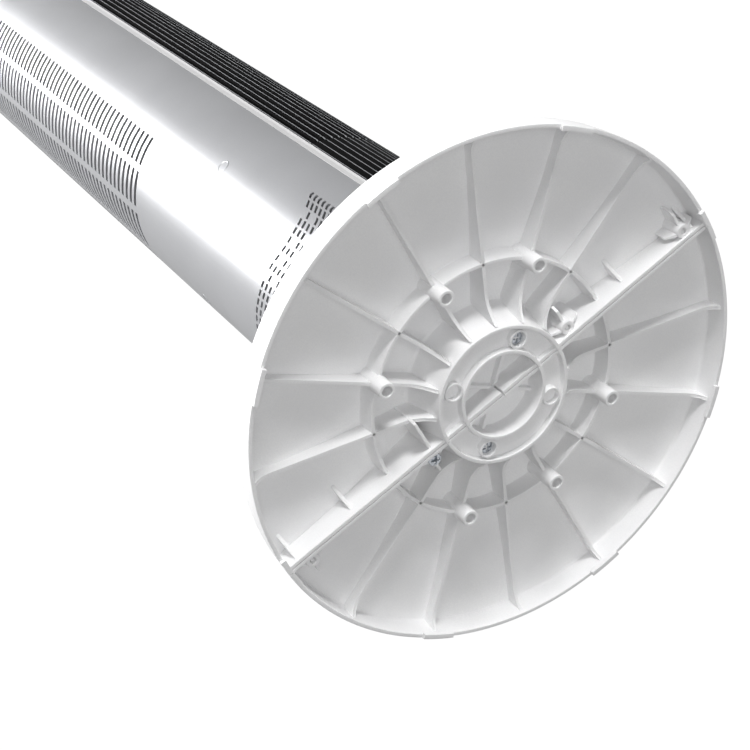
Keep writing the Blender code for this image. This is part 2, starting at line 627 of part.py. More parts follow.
def duct_plate(name, web_low, rim_low, rim_high, hole, screw_height):
    """A disc with a rim that the shell is screwed to, and a hole for the impeller's shaft."""
    outer, inner = INSIDE_RADIUS, INSIDE_RADIUS - 4 * MM
    profile = [(0, web_low + WEB), (inner, web_low + WEB), (inner, rim_high), (outer, rim_high)]
    profile += [(outer, rim_low), (inner, rim_low), (inner, web_low), (0, web_low)]
    plate = turned(name, profile, GREY, sides=24, closed=False)
    at = (0, IMPELLER_BACK, 0)
    cuts = [cylinder(name + "_hole", hole, web_low - 9 * MM, web_low + WEB + 9 * MM, at=at)]
    for angle in SHELL_SCREW_ANGLES:
        start, end = inner - 10 * MM, outer + 5 * MM
        cuts.append(radial_cylinder(f"{name}_pilot_{angle}", 1.7 * MM, start, end, angle, screw_height, sides=8))
    boolean(plate, "DIFFERENCE", cuts)


def strip_outline(points, thickness):
    """The outline of a wall of even thickness along a path."""
    path = np.array(points)
    along = np.gradient(path, axis=0)
    along /= np.linalg.norm(along, axis=1, keepdims=True)
    aside = np.stack([-along[:, 1], along[:, 0]], axis=1) * thickness / 2
    return [tuple(point) for point in np.concatenate([path + aside, (path - aside)[::-1]])]


def build_duct():
    """The end plates and the two walls that lead the air round the impeller to the grille."""
    duct_plate("lower_duct_plate", LOWER_WEB, LOWER_WEB - 6 * MM, LOWER_WEB + 18 * MM, 12 * MM, SHELL_SCREW_HEIGHTS[0])
    duct_plate("upper_bearing_plate", UPPER_WEB, UPPER_WEB - 14 * MM, UPPER_WEB + 9 * MM, 9 * MM, SHELL_SCREW_HEIGHTS[1])
    low, high = LOWER_WEB + WEB + GAP, UPPER_WEB - GAP
    centre = (0, IMPELLER_BACK)
    scroll = [
        polar(45 * MM + 11 * MM * t, -150 + 70 * t, centre) for t in np.linspace(0, 1, 9)
    ]
    scroll += [(-53 * MM, -20 * MM), (-48 * MM, -38 * MM)]
    flat("duct_scroll", [strip_outline(scroll, 2 * MM)], low, high, GREY)
    tongue = [(56 * MM, 16 * MM), (48.5 * MM, 12 * MM), (46 * MM, 6 * MM), (46.5 * MM, -6 * MM), (50 * MM, -36 * MM)]
    flat("duct_tongue", [strip_outline(tongue, 2 * MM)], low, high, GREY)


def blade_outline(angle):
    """A blade's section: a short plate set at a slant between two radii."""
    path = [polar(33 * MM, angle), polar(IMPELLER_RADIUS - 0.8 * MM, angle + 12)]
    return strip_outline(path, 1.2 * MM)


def build_impeller(tower):
    """The impeller and what turns with it, about the empty impeller_axis."""
    axis = empty("impeller_axis", (0, IMPELLER_BACK, 0), tower)
    at = (0, IMPELLER_BACK, 0)
    profile = [(0, IMPELLER_LOW + 3 * MM), (IMPELLER_RADIUS, IMPELLER_LOW + 3 * MM), (IMPELLER_RADIUS, IMPELLER_LOW)]
    profile += [(10 * MM, IMPELLER_LOW), (9 * MM, LOWER_WEB + WEB + 4 * MM), (0, LOWER_WEB + WEB + 4 * MM)]
    impeller = turned("impeller", profile, BLACK, at=at, sides=24, closed=False)
    additions = []
    for index in range(BLADES):
        outline = blade_outline(index * 360 / BLADES)
        blade = flat(f"blade_{index}", [outline], IMPELLER_LOW + 1 * MM, IMPELLER_HIGH - 1 * MM, at=at)
        additions.append(blade)
    level = (IMPELLER_LOW + IMPELLER_HIGH) / 2
    additions.append(ring("middle_disc", 31 * MM, IMPELLER_RADIUS, level - MM, level + MM, at=at))
    top = [(0, IMPELLER_HIGH), (IMPELLER_RADIUS, IMPELLER_HIGH), (IMPELLER_RADIUS, IMPELLER_HIGH - 3 * MM)]
    top += [(8 * MM, IMPELLER_HIGH - 3 * MM), (8 * MM, IMPELLER_HIGH - 12 * MM), (0, IMPELLER_HIGH - 12 * MM)]
    additions.append(turned("impeller_top", top, at=at, sides=24, closed=False))
    boolean(impeller, "UNION", additions)
    bore = SHAFT_RADIUS + GAP
    cuts = [cylinder("lower_bore", bore, LOWER_WEB, IMPELLER_LOW + 6 * MM, at=at, sides=16)]
    cuts.append(cylinder("upper_bore", bore, IMPELLER_HIGH - 20 * MM, IMPELLER_HIGH + 5 * MM, at=at, sides=16))
    boolean(impeller, "DIFFERENCE", cuts)
    high = IMPELLER_LOW + 2 * MM
    shaft = cylinder("motor_shaft", SHAFT_RADIUS, MOTOR_HIGH - 30 * MM, high, STEEL, at=at, sides=16)
    axle = cylinder("impeller_axle", SHAFT_RADIUS, IMPELLER_HIGH - 11 * MM, UPPER_WEB + 8 * MM, STEEL, at=at, sides=16)
    for obj in (impeller, shaft, axle):
        parent_to(obj, axis)


def build_motor():
    """Fan motor, its mount and dampers, and the upper bearing."""
    at = (0, IMPELLER_BACK, 0)
    body = [(0, MOTOR_HIGH), (12 * MM, MOTOR_HIGH), (14 * MM, MOTOR_HIGH - 4 * MM), (35 * MM, MOTOR_HIGH - 6 * MM)]
    body += [(38 * MM, MOTOR_HIGH - 10 * MM), (38 * MM, MOTOR_LOW + 8 * MM), (34 * MM, MOTOR_LOW + 3 * MM), (0, MOTOR_LOW)]
    motor = turned("fan_motor", body, STEEL, at=at, closed=False)
    bore = cylinder("motor_bore", SHAFT_RADIUS + GAP, MOTOR_HIGH - 31 * MM, MOTOR_HIGH + 5 * MM, at=at, sides=16)
    boolean(motor, "DIFFERENCE", [bore])
    mount_low = MOTOR_HIGH - 5.5 * MM + 9 * MM
    ring("motor_mount", 12.6 * MM, 44 * MM, mount_low, mount_low + 3 * MM, STEEL, at=at)
    for number in range(1, 4):
        x, y = polar(38 * MM, number * 120, (0, IMPELLER_BACK))
        low, high = mount_low + 3 * MM + GAP, LOWER_WEB - GAP
        cylinder(f"motor_damper_{number}", 6 * MM, low, high, RUBBER, at=(x, y, 0), sides=16)
    low, high = UPPER_WEB - 3 * MM, UPPER_WEB + WEB + 3 * MM
    ring("bearing_holder", 6.3 * MM, 8.7 * MM, low, high, RUBBER, at=at, sides=24)
    ring("bearing_bush", SHAFT_RADIUS + GAP, 6 * MM, low, high, BRONZE, at=at, sides=24)


def build_swivel_motor(tower):
    """The swivel motor on its two posts, and the pinion that walks round the fixed gear."""
    at = (0, -GEAR_CENTRES, 0)
    low, high = SWIVEL_MOTOR_LOW, SWIVEL_MOTOR_LOW + 14 * MM
    motor = cylinder("oscillation_motor", 17.5 * MM, low, high, STEEL, at=at)
    ear = 4.5 * MM
    half = 22.5 * MM
    outline = arc(ear, 0, 180, 5, (half, -6 * MM)) + arc(ear, 180, 360, 5, (-half, -6 * MM))
    boolean(motor, "UNION", [flat("motor_ears", [outline], low, low + 1.5 * MM, at=at)])
    holes = [cylinder("motor_shaft_hole", 2.8 * MM, low - 1 * MM, low + 6 * MM, at=at, sides=12)]
    for side in (-1, 1):
        spot = (half * side, -GEAR_CENTRES - 6 * MM, 0)
        holes.append(cylinder(f"motor_ear_hole_{side}", 1.6 * MM, low - 1 * MM, low + 3 * MM, at=spot, sides=12))
    boolean(motor, "DIFFERENCE", holes)
    mesh = screw_mesh("motor_screw_mesh", 2.8 * MM, 1.8 * MM, 1.2 * MM, 9 * MM)
    for number, side in enumerate((-1, 1), 1):
        spot = (half * side, -GEAR_CENTRES - 6 * MM, low + 1.5 * MM + GAP)
        put_screw(f"oscillation_motor_screw_{number}", mesh, spot)
    axis = empty("pinion_axis", at, tower)
    gap_faces_gear = 180 + 180 / PINION_TEETH
    bore = arc(2.8 * MM, 0, 330, 12)
    pinion = flat(
        "oscillation_pinion", [gear_outline(PINION_TEETH, gap_faces_gear), bore], GEAR_LOW, GEAR_HIGH, ACETAL, at=at
    )
    shaft = cylinder("oscillation_motor_shaft", 2.5 * MM, GEAR_LOW, low + 5 * MM, STEEL, at=at, sides=12)
    parent_to(pinion, axis)
    parent_to(shaft, axis)


def build_electrics():
    """The mains board, its capacitor, and the clamp that grips the cord inside."""
    board = box("main_board", (-32 * MM, 30 * MM, 60.3 * MM), (32 * MM, 31.6 * MM, 150 * MM), BOARD_GREEN)
    relay = box("board_relay", (-24 * MM, 31 * MM, 110 * MM), (-5 * MM, 45 * MM, 125 * MM))
    plug = box("board_terminal", (4 * MM, 31 * MM, 70 * MM), (26 * MM, 41 * MM, 80 * MM))
    boolean(board, "UNION", [relay, plug])
    box("run_capacitor", (-18 * MM, 12 * MM, 88 * MM), (18 * MM, 29.7 * MM, 112 * MM), GREY)
    clamp = box("cord_clamp", (-13 * MM, -4 * MM, 45.3 * MM), (13 * MM, 4 * MM, 49 * MM), GREY, at=(CLAMP_PLACE, 2 * MM, 0))
    holes = []
    mesh = screw_mesh("clamp_screw_mesh", 2.8 * MM, 1.8 * MM, 1.2 * MM, 9 * MM)
    for number, side in enumerate((-1, 1), 1):
        x = CLAMP_PLACE + 8 * MM * side
        holes.append(cylinder(f"clamp_hole_{number}", 1.6 * MM, 44 * MM, 50 * MM, at=(x, 2 * MM, 0), sides=12))
        put_screw(f"cord_clamp_screw_{number}", mesh, (x, 2 * MM, 49 * MM + GAP))
    boolean(clamp, "DIFFERENCE", holes)


def button_places():
    """Where each button stands, by name."""
    names = ("button_timer", "button_mode", "button_power", "button_speed", "button_swing")
    return {name: polar(BUTTON_CIRCLE, -60 + 30 * index) for index, name in enumerate(names)}


def build_controls(tower):
    """Top cover, panel, display window, buttons, receiver lens and control board."""
    cover = flat("top_cover", [body_outline()], TOP_LOW, TOP_HIGH, WHITE)
    pocket = flat("top_pocket", [body_outline(3 * MM, 13, 9)], TOP_LOW - 5 * MM, CEILING)
    recess = cylinder("panel_recess", PANEL_RADIUS + GAP, PANEL_LOW, TOP_HIGH + 5 * MM, sides=24)
    boolean(cover, "DIFFERENCE", [pocket, recess])
    spigot = ring("top_spigot", INSIDE_RADIUS - 2.4 * MM, INSIDE_RADIUS, SHELL_HIGH - 8 * MM, TOP_LOW + 4 * MM, sides=24)
    posts = [spigot]
    for angle in (90, 180, 270):
        at = (*polar(40 * MM, angle), 0)
        posts.append(cylinder(f"board_post_{angle}", 2.5 * MM, BOARD_TOP + GAP, CEILING + 1 * MM, at=at, sides=6))
    boolean(cover, "UNION", posts)
    holes = []
    panel_holes = []
    hole_radius = BUTTON_RADIUS + 0.35 * MM
    board_switches = []
    for name, (x, y) in button_places().items():
        holes.append(cylinder(name + "_cover_hole", hole_radius, CEILING - 2 * MM, TOP_HIGH, at=(x, y, 0), sides=12))
        panel_holes.append(cylinder(name + "_panel_hole", hole_radius, PANEL_LOW, TOP_HIGH + 2 * MM, at=(x, y, 0), sides=12))
        switch = box(name + "_switch", (-3 * MM, -3 * MM, BOARD_TOP - 0.5 * MM), (3 * MM, 3 * MM, BOARD_TOP + 2.5 * MM))
        switch.location = (x, y, 0)
        board_switches.append(switch)
        profile = [(0, BUTTON_TOP), (BUTTON_RADIUS - 0.8 * MM, BUTTON_TOP), (BUTTON_RADIUS, BUTTON_TOP - 0.6 * MM)]
        profile += [(BUTTON_RADIUS, CEILING - 0.4 * MM), (BUTTON_RADIUS + 1.2 * MM, CEILING - 0.4 * MM)]
        profile += [(BUTTON_RADIUS + 1.2 * MM, CEILING - 1.9 * MM), (0, CEILING - 1.9 * MM)]
        button = turned(name, profile, GREY, at=(x, y, 0), sides=12, closed=False)
        parent_to(button, tower)
    lens_height = TOP_LOW + 26 * MM
    lens_turn = (math.pi / 2, 0, 0)
    lens_face = FRONT_OFFSET + FRONT_RADIUS
    lens_at = (0, 0, lens_height)
    holes.append(cylinder("lens_hole", 4.3 * MM, lens_face - 6 * MM, lens_face + 2 * MM, at=lens_at, turn=lens_turn))
    cylinder("receiver_lens", 4 * MM, lens_face - 3.5 * MM, lens_face - GAP, GLOSS_BLACK, at=lens_at, turn=lens_turn)
    boolean(cover, "DIFFERENCE", holes)
    panel = cylinder("control_panel", PANEL_RADIUS, PANEL_LOW + GAP, TOP_HIGH - 0.2 * MM, GLOSS_BLACK, sides=24)
    low, high = (-16 * MM, 4 * MM, PANEL_LOW), (16 * MM, 18 * MM, TOP_HIGH + 2 * MM)
    boolean(panel, "DIFFERENCE", panel_holes + [box("window_hole", low, high)])
    low, high = (-15.7 * MM, 4.3 * MM, PANEL_LOW + GAP), (15.7 * MM, 17.7 * MM, TOP_HIGH - 0.2 * MM)
    box("display_window", low, high, GLOSS_BLACK)
    board = cylinder("control_board", 45 * MM, BOARD_TOP - 1.6 * MM, BOARD_TOP, BOARD_GREEN, sides=16)
    boolean(board, "UNION", board_switches)


def empty(name, at, parent=None):
    """An empty that moving pieces hang from, on the axis that they move about."""
    obj = bpy.data.objects.new(name, None)
    obj.location = at
    PARTS.objects.link(obj)
    if parent:
        parent_to(obj, parent)
    return obj


def parent_to(obj, parent):
    """Hangs an object from an empty that is placed but not turned, and leaves it where it is."""
    obj.parent = parent
    obj.matrix_parent_inverse = Matrix.Translation(-parent_place(parent))


def parent_place(obj):
    """The world place of an empty of the swivel chain."""
    return Vector(obj.location)


def main():
    """Builds the fan from the floor up, then hangs what turns with the tower from its pivot."""
    clear_scene()
    build_base()
    build_base_screws()
    build_swivel()
    fixed = set(PARTS.objects)
    tower = empty("tower_pivot", (0, 0, 0))
    build_bottom_cover()
    build_casing()
    build_shell_screws()
    build_duct()
    build_motor()
    build_impeller(tower)
    build_swivel_motor(tower)
    build_electrics()
    build_controls(tower)
    for obj in list(PARTS.objects):
        if obj.type == "MESH":
            settle(obj)
        if obj not in fixed and obj is not tower and obj.parent is None:
            parent_to(obj, tower)


main()
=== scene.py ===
import json
import logging
import math
from dataclasses import dataclass, field
from enum import Enum

import bmesh
import bpy
import numpy as np
from mathutils import Matrix, Vector

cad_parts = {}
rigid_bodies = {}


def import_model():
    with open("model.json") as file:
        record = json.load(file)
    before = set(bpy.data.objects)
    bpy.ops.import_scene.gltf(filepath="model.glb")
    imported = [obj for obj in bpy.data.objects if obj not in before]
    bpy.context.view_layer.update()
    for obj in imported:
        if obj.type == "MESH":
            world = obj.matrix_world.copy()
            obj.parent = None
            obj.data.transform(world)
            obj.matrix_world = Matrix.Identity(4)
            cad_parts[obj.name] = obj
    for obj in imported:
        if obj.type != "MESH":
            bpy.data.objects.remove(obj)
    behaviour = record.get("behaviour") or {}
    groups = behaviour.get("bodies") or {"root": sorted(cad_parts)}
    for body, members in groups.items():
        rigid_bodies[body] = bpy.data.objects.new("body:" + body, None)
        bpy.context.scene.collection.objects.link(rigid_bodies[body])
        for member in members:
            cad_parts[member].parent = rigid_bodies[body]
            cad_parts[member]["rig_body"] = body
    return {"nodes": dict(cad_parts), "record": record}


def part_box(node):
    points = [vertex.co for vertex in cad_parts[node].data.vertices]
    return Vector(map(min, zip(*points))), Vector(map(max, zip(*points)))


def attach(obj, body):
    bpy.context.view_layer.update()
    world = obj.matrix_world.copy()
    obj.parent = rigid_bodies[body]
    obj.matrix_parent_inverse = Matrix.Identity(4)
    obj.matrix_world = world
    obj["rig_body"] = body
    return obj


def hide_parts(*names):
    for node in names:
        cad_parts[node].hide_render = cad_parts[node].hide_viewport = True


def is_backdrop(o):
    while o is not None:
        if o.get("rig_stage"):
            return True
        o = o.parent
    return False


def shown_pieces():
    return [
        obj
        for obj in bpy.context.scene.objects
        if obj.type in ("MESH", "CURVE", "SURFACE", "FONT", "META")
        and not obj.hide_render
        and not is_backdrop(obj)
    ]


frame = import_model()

MM = 0.001
LOG = logging.getLogger("tower_fan")


# ---------------------------------------------------------------- helpers

def linear(colour: str) -> tuple:
    """Turns an sRGB hex colour to linear red, green, blue and alpha.

    Args:
        colour: six hex digits after a hash.

    Returns:
        Four floats for a colour socket.
    """
    values = [int(colour[place:place + 2], 16) / 255 for place in (1, 3, 5)]
    return tuple(v / 12.92 if v <= 0.04045 else ((v + 0.055) / 1.055) ** 2.4 for v in values) + (1.0,)


def add_node(tree: bpy.types.NodeTree, kind: str, inputs: dict | None = None, **settings) -> bpy.types.Node:
    """Adds one node, sets it up and links it.

    Args:
        tree: the node tree to add to.
        kind: Blender's name of the node type.
        inputs: socket name or number to a value, or to the output socket that feeds it.
        settings: the node's own settings.

    Returns:
        The new node.
    """
    made = tree.nodes.new(kind)
    for name, value in settings.items():
        setattr(made, name, value)
    for name, value in (inputs or {}).items():
        if isinstance(value, bpy.types.NodeSocket):
            tree.links.new(value, made.inputs[name])
        else:
            made.inputs[name].default_value = value
    return made


def polar(radius: np.ndarray | float, angle: np.ndarray | float, back: float = 0.0) -> np.ndarray:
    """Points at a radius and an angle in degrees from the front: x = r sin a, y = back - r cos a.

    Args:
        radius: distance from the centre, metres.
        angle: degrees from the front, positive towards +X.
        back: the centre's y.

    Returns:
        Array whose last axis is x, y.
    """
    turn = np.radians(np.asarray(angle, float))
    radius = np.asarray(radius, float) + 0 * turn
    return np.stack([radius * np.sin(turn), back - radius * np.cos(turn)], axis=-1)


@dataclass
class Surface:
    """Points and faces gathered for one piece."""

    points: list = field(default_factory=list)
    faces: list = field(default_factory=list)
    count: int = 0

    def add(self, points: np.ndarray, faces: list) -> None:
        """Adds points and the faces between them.

        Args:
            points: the points, (n, 3) or a grid of them.
            faces: arrays of faces, each row numbering those points.
        """
        self.points.append(points.reshape(-1, 3))
        self.faces.extend(np.asarray(group) + self.count for group in faces if len(group))
        self.count += len(points.reshape(-1, 3))

    def grid(self, points: np.ndarray, around: bool = False, along: bool = False, caps: bool = False,
             keep: np.ndarray | None = None) -> "Surface":
        """Adds a grid of points (rows, columns, 3) with one quad between each four neighbours.

        Args:
            points: the grid.
            around: whether the last column joins the first.
            along: whether the last row joins the first.
            caps: whether the first and last rows are closed by a face.
            keep: which quads are made, (rows, columns) as booleans.

        Returns:
            This surface.
        """
        rows, columns = points.shape[:2]
        place = np.arange(rows * columns).reshape(rows, columns)
        if around:
            place = np.concatenate([place, place[:, :1]], axis=1)
        if along:
            place = np.concatenate([place, place[:1]], axis=0)
        quads = np.stack([place[:-1, :-1], place[:-1, 1:], place[1:, 1:], place[1:, :-1]], axis=-1)
        quads = quads.reshape(-1, 4) if keep is None else quads[keep]
        groups = [quads]
        if caps:
            ring = np.arange(columns)
            groups += [ring[None, ::-1], (ring + (rows - 1) * columns)[None]]
        self.add(points, groups)
        return self

    def make(self, name: str) -> bpy.types.Object:
        """Puts the gathered faces in a mesh object at the origin.

        Args:
            name: the object's name.

        Returns:
            The linked object.
        """
        mesh = bpy.data.meshes.new(name)
        points = np.concatenate(self.points).astype(np.float32)
        loops = np.concatenate([group.reshape(-1) for group in self.faces]).astype(np.int32)
        sizes = np.concatenate([np.full(len(group), group.shape[1]) for group in self.faces])
        starts = np.concatenate([[0], np.cumsum(sizes)[:-1]]).astype(np.int32)
        mesh.vertices.add(len(points))
        mesh.vertices.foreach_set("co", points.reshape(-1))
        mesh.loops.add(len(loops))
        mesh.loops.foreach_set("vertex_index", loops)
        mesh.polygons.add(len(sizes))
        mesh.polygons.foreach_set("loop_start", starts)
        mesh.update(calc_edges=True)
        made = bpy.data.objects.new(name, mesh)
        bpy.context.scene.collection.objects.link(made)
        return made


def settle(piece: bpy.types.Object, angle: float = 32.0, weld: float = 0.01 * MM) -> bpy.types.Object:
    """Applies the piece's modifiers, welds doubles, turns faces outward and marks sharp edges.

    Args:
        piece: the piece to finish.
        angle: edges sharper than this many degrees stay sharp.
        weld: points nearer than this become one.

    Returns:
        The same piece.
    """
    bpy.context.view_layer.update()
    graph = bpy.context.evaluated_depsgraph_get()
    mesh = bpy.data.meshes.new_from_object(piece.evaluated_get(graph))
    piece.modifiers.clear()
    work = bmesh.new()
    work.from_mesh(mesh)
    bmesh.ops.remove_doubles(work, verts=work.verts, dist=weld)
    bmesh.ops.dissolve_degenerate(work, edges=work.edges, dist=weld)
    bmesh.ops.recalc_face_normals(work, faces=work.faces)
    work.to_mesh(mesh)
    work.free()
    mesh.polygons.foreach_set("use_smooth", np.ones(len(mesh.polygons), bool))
    mesh.set_sharp_from_angle(angle=math.radians(angle))
    mesh.name = piece.name
    piece.data = mesh
    return piece


def fillet(corners: list, radii: list, steps: int = 4) -> np.ndarray:
    """Rounds a closed polygon's corners with arcs.

    Each corner is cut back by its radius along both sides, never past the middle of a side, and the
    two ends are joined by the quadratic curve whose middle control point is the corner.

    Args:
        corners: corner points, (u, v).
        radii: one radius for each corner.
        steps: points on each arc.

    Returns:
        The rounded outline, (n, 2).
    """
    corner = np.asarray(corners, float)
    before = np.roll(corner, 1, axis=0) - corner
    after = np.roll(corner, -1, axis=0) - corner
    near = np.linalg.norm(before, axis=1, keepdims=True)
    far = np.linalg.norm(after, axis=1, keepdims=True)
    back = np.minimum(np.asarray(radii, float)[:, None], np.minimum(near, far) * 0.48)
    start, end = corner + before / near * back, corner + after / far * back
    t = np.linspace(0, 1, steps)[None, :, None]
    curve = (1 - t) ** 2 * start[:, None] + 2 * t * (1 - t) * corner[:, None] + t ** 2 * end[:, None]
    return curve.reshape(-1, 2)


def carried(path: np.ndarray, outward: np.ndarray, profile: np.ndarray) -> np.ndarray:
    """A profile carried along a level path: point = path + outward * u, at height v.

    Args:
        path: the path in plan, (n, 2).
        outward: unit outward directions, (n, 2).
        profile: (u, v) with u outward and v up, (m, 2).

    Returns:
        The grid (n, m, 3).
    """
    plan = path[:, None, :] + outward[:, None, :] * profile[None, :, :1]
    height = np.broadcast_to(profile[None, :, 1:], plan.shape[:2] + (1,))
    return np.concatenate([plan, height], axis=-1)


def raised(section: np.ndarray, heights: np.ndarray) -> np.ndarray:
    """A plan section repeated at each height.

    Args:
        section: the section's points in plan, (m, 2).
        heights: the heights, (n,).

    Returns:
        The grid (n, m, 3).
    """
    plan = np.broadcast_to(section[None], (len(heights),) + section.shape)
    tall = np.broadcast_to(np.asarray(heights)[:, None, None], (len(heights), len(section), 1))
    return np.concatenate([plan, tall], axis=-1)


# ---------------------------------------------------------------- finishes

class Process(Enum):
    """How a surface was made, which sets the shape of its finest marks."""

    MOULDED = (1.0, 1.0, 1.0)
    TURNED = (0.15, 0.15, 1.0)


@dataclass(frozen=True)
class Finish:
    """One real substance and the marks of its making, as a procedural material."""

    name: str
    light: str
    dark: str
    roughness: float
    grain_mm: float = 0.9
    relief_mm: float = 0.02
    cloud_mm: float = 60.0
    metallic: float = 0.0
    ior: float = 1.5
    coat: float = 0.0
    specular: float = 0.5
    process: Process = Process.MOULDED

    def material(self) -> bpy.types.Material:
        """Builds the material: cloudy colour, uneven gloss and fine relief, all on Object coordinates.

        Returns:
            The material.
        """
        made = bpy.data.materials.new(self.name)
        made.use_nodes = True
        tree = made.node_tree
        tree.nodes.clear()
        place = add_node(tree, "ShaderNodeTexCoord").outputs["Object"]
        stretched = add_node(tree, "ShaderNodeMapping", {"Vector": place, "Scale": self.process.value})
        cloud = add_node(tree, "ShaderNodeTexNoise", {
            "Vector": place, "Scale": 1 / (self.cloud_mm * MM), "Detail": 3.0, "Roughness": 0.55})
        grain = add_node(tree, "ShaderNodeTexNoise", {
            "Vector": stretched.outputs[0], "Scale": 1 / (self.grain_mm * MM), "Detail": 2.0,
            "Roughness": 0.6})
        pores = add_node(tree, "ShaderNodeTexVoronoi", {
            "Vector": stretched.outputs[0], "Scale": 1 / (self.grain_mm * 1.7 * MM)})
        mixed = add_node(tree, "ShaderNodeMath", {
            0: cloud.outputs[0], 1: grain.outputs[0]}, operation="MULTIPLY")
        tint = add_node(tree, "ShaderNodeValToRGB", {"Fac": mixed.outputs[0]})
        tint.color_ramp.elements[0].position = 0.12
        tint.color_ramp.elements[0].color = linear(self.dark)
        tint.color_ramp.elements[1].position = 0.38
        tint.color_ramp.elements[1].color = linear(self.light)
        gloss = add_node(tree, "ShaderNodeMapRange", {
            "Value": grain.outputs[0], "To Min": self.roughness * 0.82,
            "To Max": min(self.roughness * 1.18, 1.0)})
        height = add_node(tree, "ShaderNodeMath", {
            0: grain.outputs[0], 1: pores.outputs["Distance"]}, operation="ADD")
        relief = add_node(tree, "ShaderNodeBump", {
            "Strength": 0.35, "Distance": self.relief_mm * MM, "Height": height.outputs[0]})
        shader = add_node(tree, "ShaderNodeBsdfPrincipled", {
            "Base Color": tint.outputs[0], "Roughness": gloss.outputs[0], "Normal": relief.outputs[0],
            "Metallic": self.metallic, "IOR": self.ior, "Coat Weight": self.coat, "Coat Roughness": 0.08,
            "Specular IOR Level": self.specular})
        add_node(tree, "ShaderNodeOutputMaterial", {"Surface": shader.outputs[0]})
        return made


# Injection-moulded white ABS: bright and neutral, with a fine spark-eroded grain.
WHITE_ABS = Finish("moulded white ABS", "#F8F8F8", "#F0F0F1", 0.42, grain_mm=0.8, relief_mm=0.03)
# Satin silver-white painted ABS: cool pearl that greys where it turns from the light.
SATIN_ABS = Finish("satin silver painted ABS", "#CDCED1", "#C5C6C9", 0.33, grain_mm=0.5, relief_mm=0.012,
                   metallic=0.55, coat=0.1)
# Black ABS with a spark-eroded grain: deep, with a soft grey sheen on its edges.
BLACK_ABS = Finish("moulded black ABS", "#060607", "#040405", 0.7, grain_mm=0.8, relief_mm=0.03,
                   specular=0.06)
# Pale grey line on each fin's edge: thin and matt.
EDGE_GREY = Finish("pale grey fin edge", "#9A9CA0", "#8C8E92", 0.6, grain_mm=0.6, relief_mm=0.01)
# Polished acrylic: black and mirror-smooth under a clear skin.
ACRYLIC = Finish("polished black acrylic", "#070708", "#050506", 0.08, grain_mm=2.0, relief_mm=0.002,
                 ior=1.49, coat=0.6)
# Smoked polycarbonate lens: dark brown-grey and clear-skinned.
SMOKED = Finish("smoked polycarbonate", "#15110F", "#0C0A09", 0.12, grain_mm=2.0, relief_mm=0.002,
                ior=1.58, coat=0.4)
# Glass-filled grey polypropylene: matt, with faint flow marks.
POLYPROPYLENE = Finish("grey polypropylene", "#8E9092", "#7C7E80", 0.55, grain_mm=1.4, relief_mm=0.04)
# Bright zinc plating on pressed steel: silver-blue with fine rolling lines.
ZINC = Finish("zinc plated steel", "#C9CDD2", "#AEB2B8", 0.28, grain_mm=0.5, relief_mm=0.01, metallic=1.0,
              process=Process.TURNED)
# Sintered bronze: brown-gold and porous.
BRONZE = Finish("sintered bronze", "#A9794A", "#84592F", 0.5, grain_mm=0.4, relief_mm=0.03, metallic=1.0)
# Moulded rubber: near black and dull.
RUBBER = Finish("black rubber", "#17171A", "#101012", 0.8, grain_mm=0.7, relief_mm=0.04)
# Solder-masked glass laminate: glossy green with the weave just showing.
LAMINATE = Finish("green glass laminate", "#1F5A33", "#163F24", 0.3, grain_mm=0.9, relief_mm=0.02, coat=0.3)
# Natural acetal: milky white and slippery.
ACETAL = Finish("natural acetal", "#ECE9DF", "#DDD9CC", 0.35, grain_mm=0.9, relief_mm=0.01)

BY_SLOT = {
    "white_abs": WHITE_ABS,
    "satin_white_abs": SATIN_ABS,
    "black_abs": BLACK_ABS,
    "gloss_black_acrylic": ACRYLIC,
    "smoked_lens": SMOKED,
    "grey_polypropylene": POLYPROPYLENE,
    "zinc_plated_steel": ZINC,
    "sintered_bronze": BRONZE,
    "black_rubber": RUBBER,
    "green_laminate": LAMINATE,
    "natural_acetal": ACETAL,
}


class Workshop:
    """Keeps one material for each finish and puts pieces on their bodies."""

    def __init__(self) -> None:
        """Starts with no materials made."""
        self.made: dict = {}

    def dress(self, obj: bpy.types.Object, finish: Finish) -> None:
        """Gives an object one finish in every slot.

        Args:
            obj: the object.
            finish: its finish.
        """
        if finish.name not in self.made:
            self.made[finish.name] = finish.material()
        if not obj.material_slots:
            obj.data.materials.append(self.made[finish.name])
        for place in obj.material_slots:
            place.material = self.made[finish.name]

    def place(self, piece: bpy.types.Object, finish: Finish, slot: str, body: str, *nodes: str) -> None:
        """Dresses a piece, rides it on a body and hides the solids it stands for.

        Args:
            piece: the finished piece.
            finish: its finish.
            slot: the record's material slot; not used.
            body: the body that carries it.
            nodes: the solids that it replaces.
        """
        self.dress(piece, finish)
        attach(piece, body)
        if nodes:
            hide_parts(*nodes)
        LOG.info("%s: %d faces on %s", piece.name, len(piece.data.polygons), body)


# ---------------------------------------------------------------- tower section

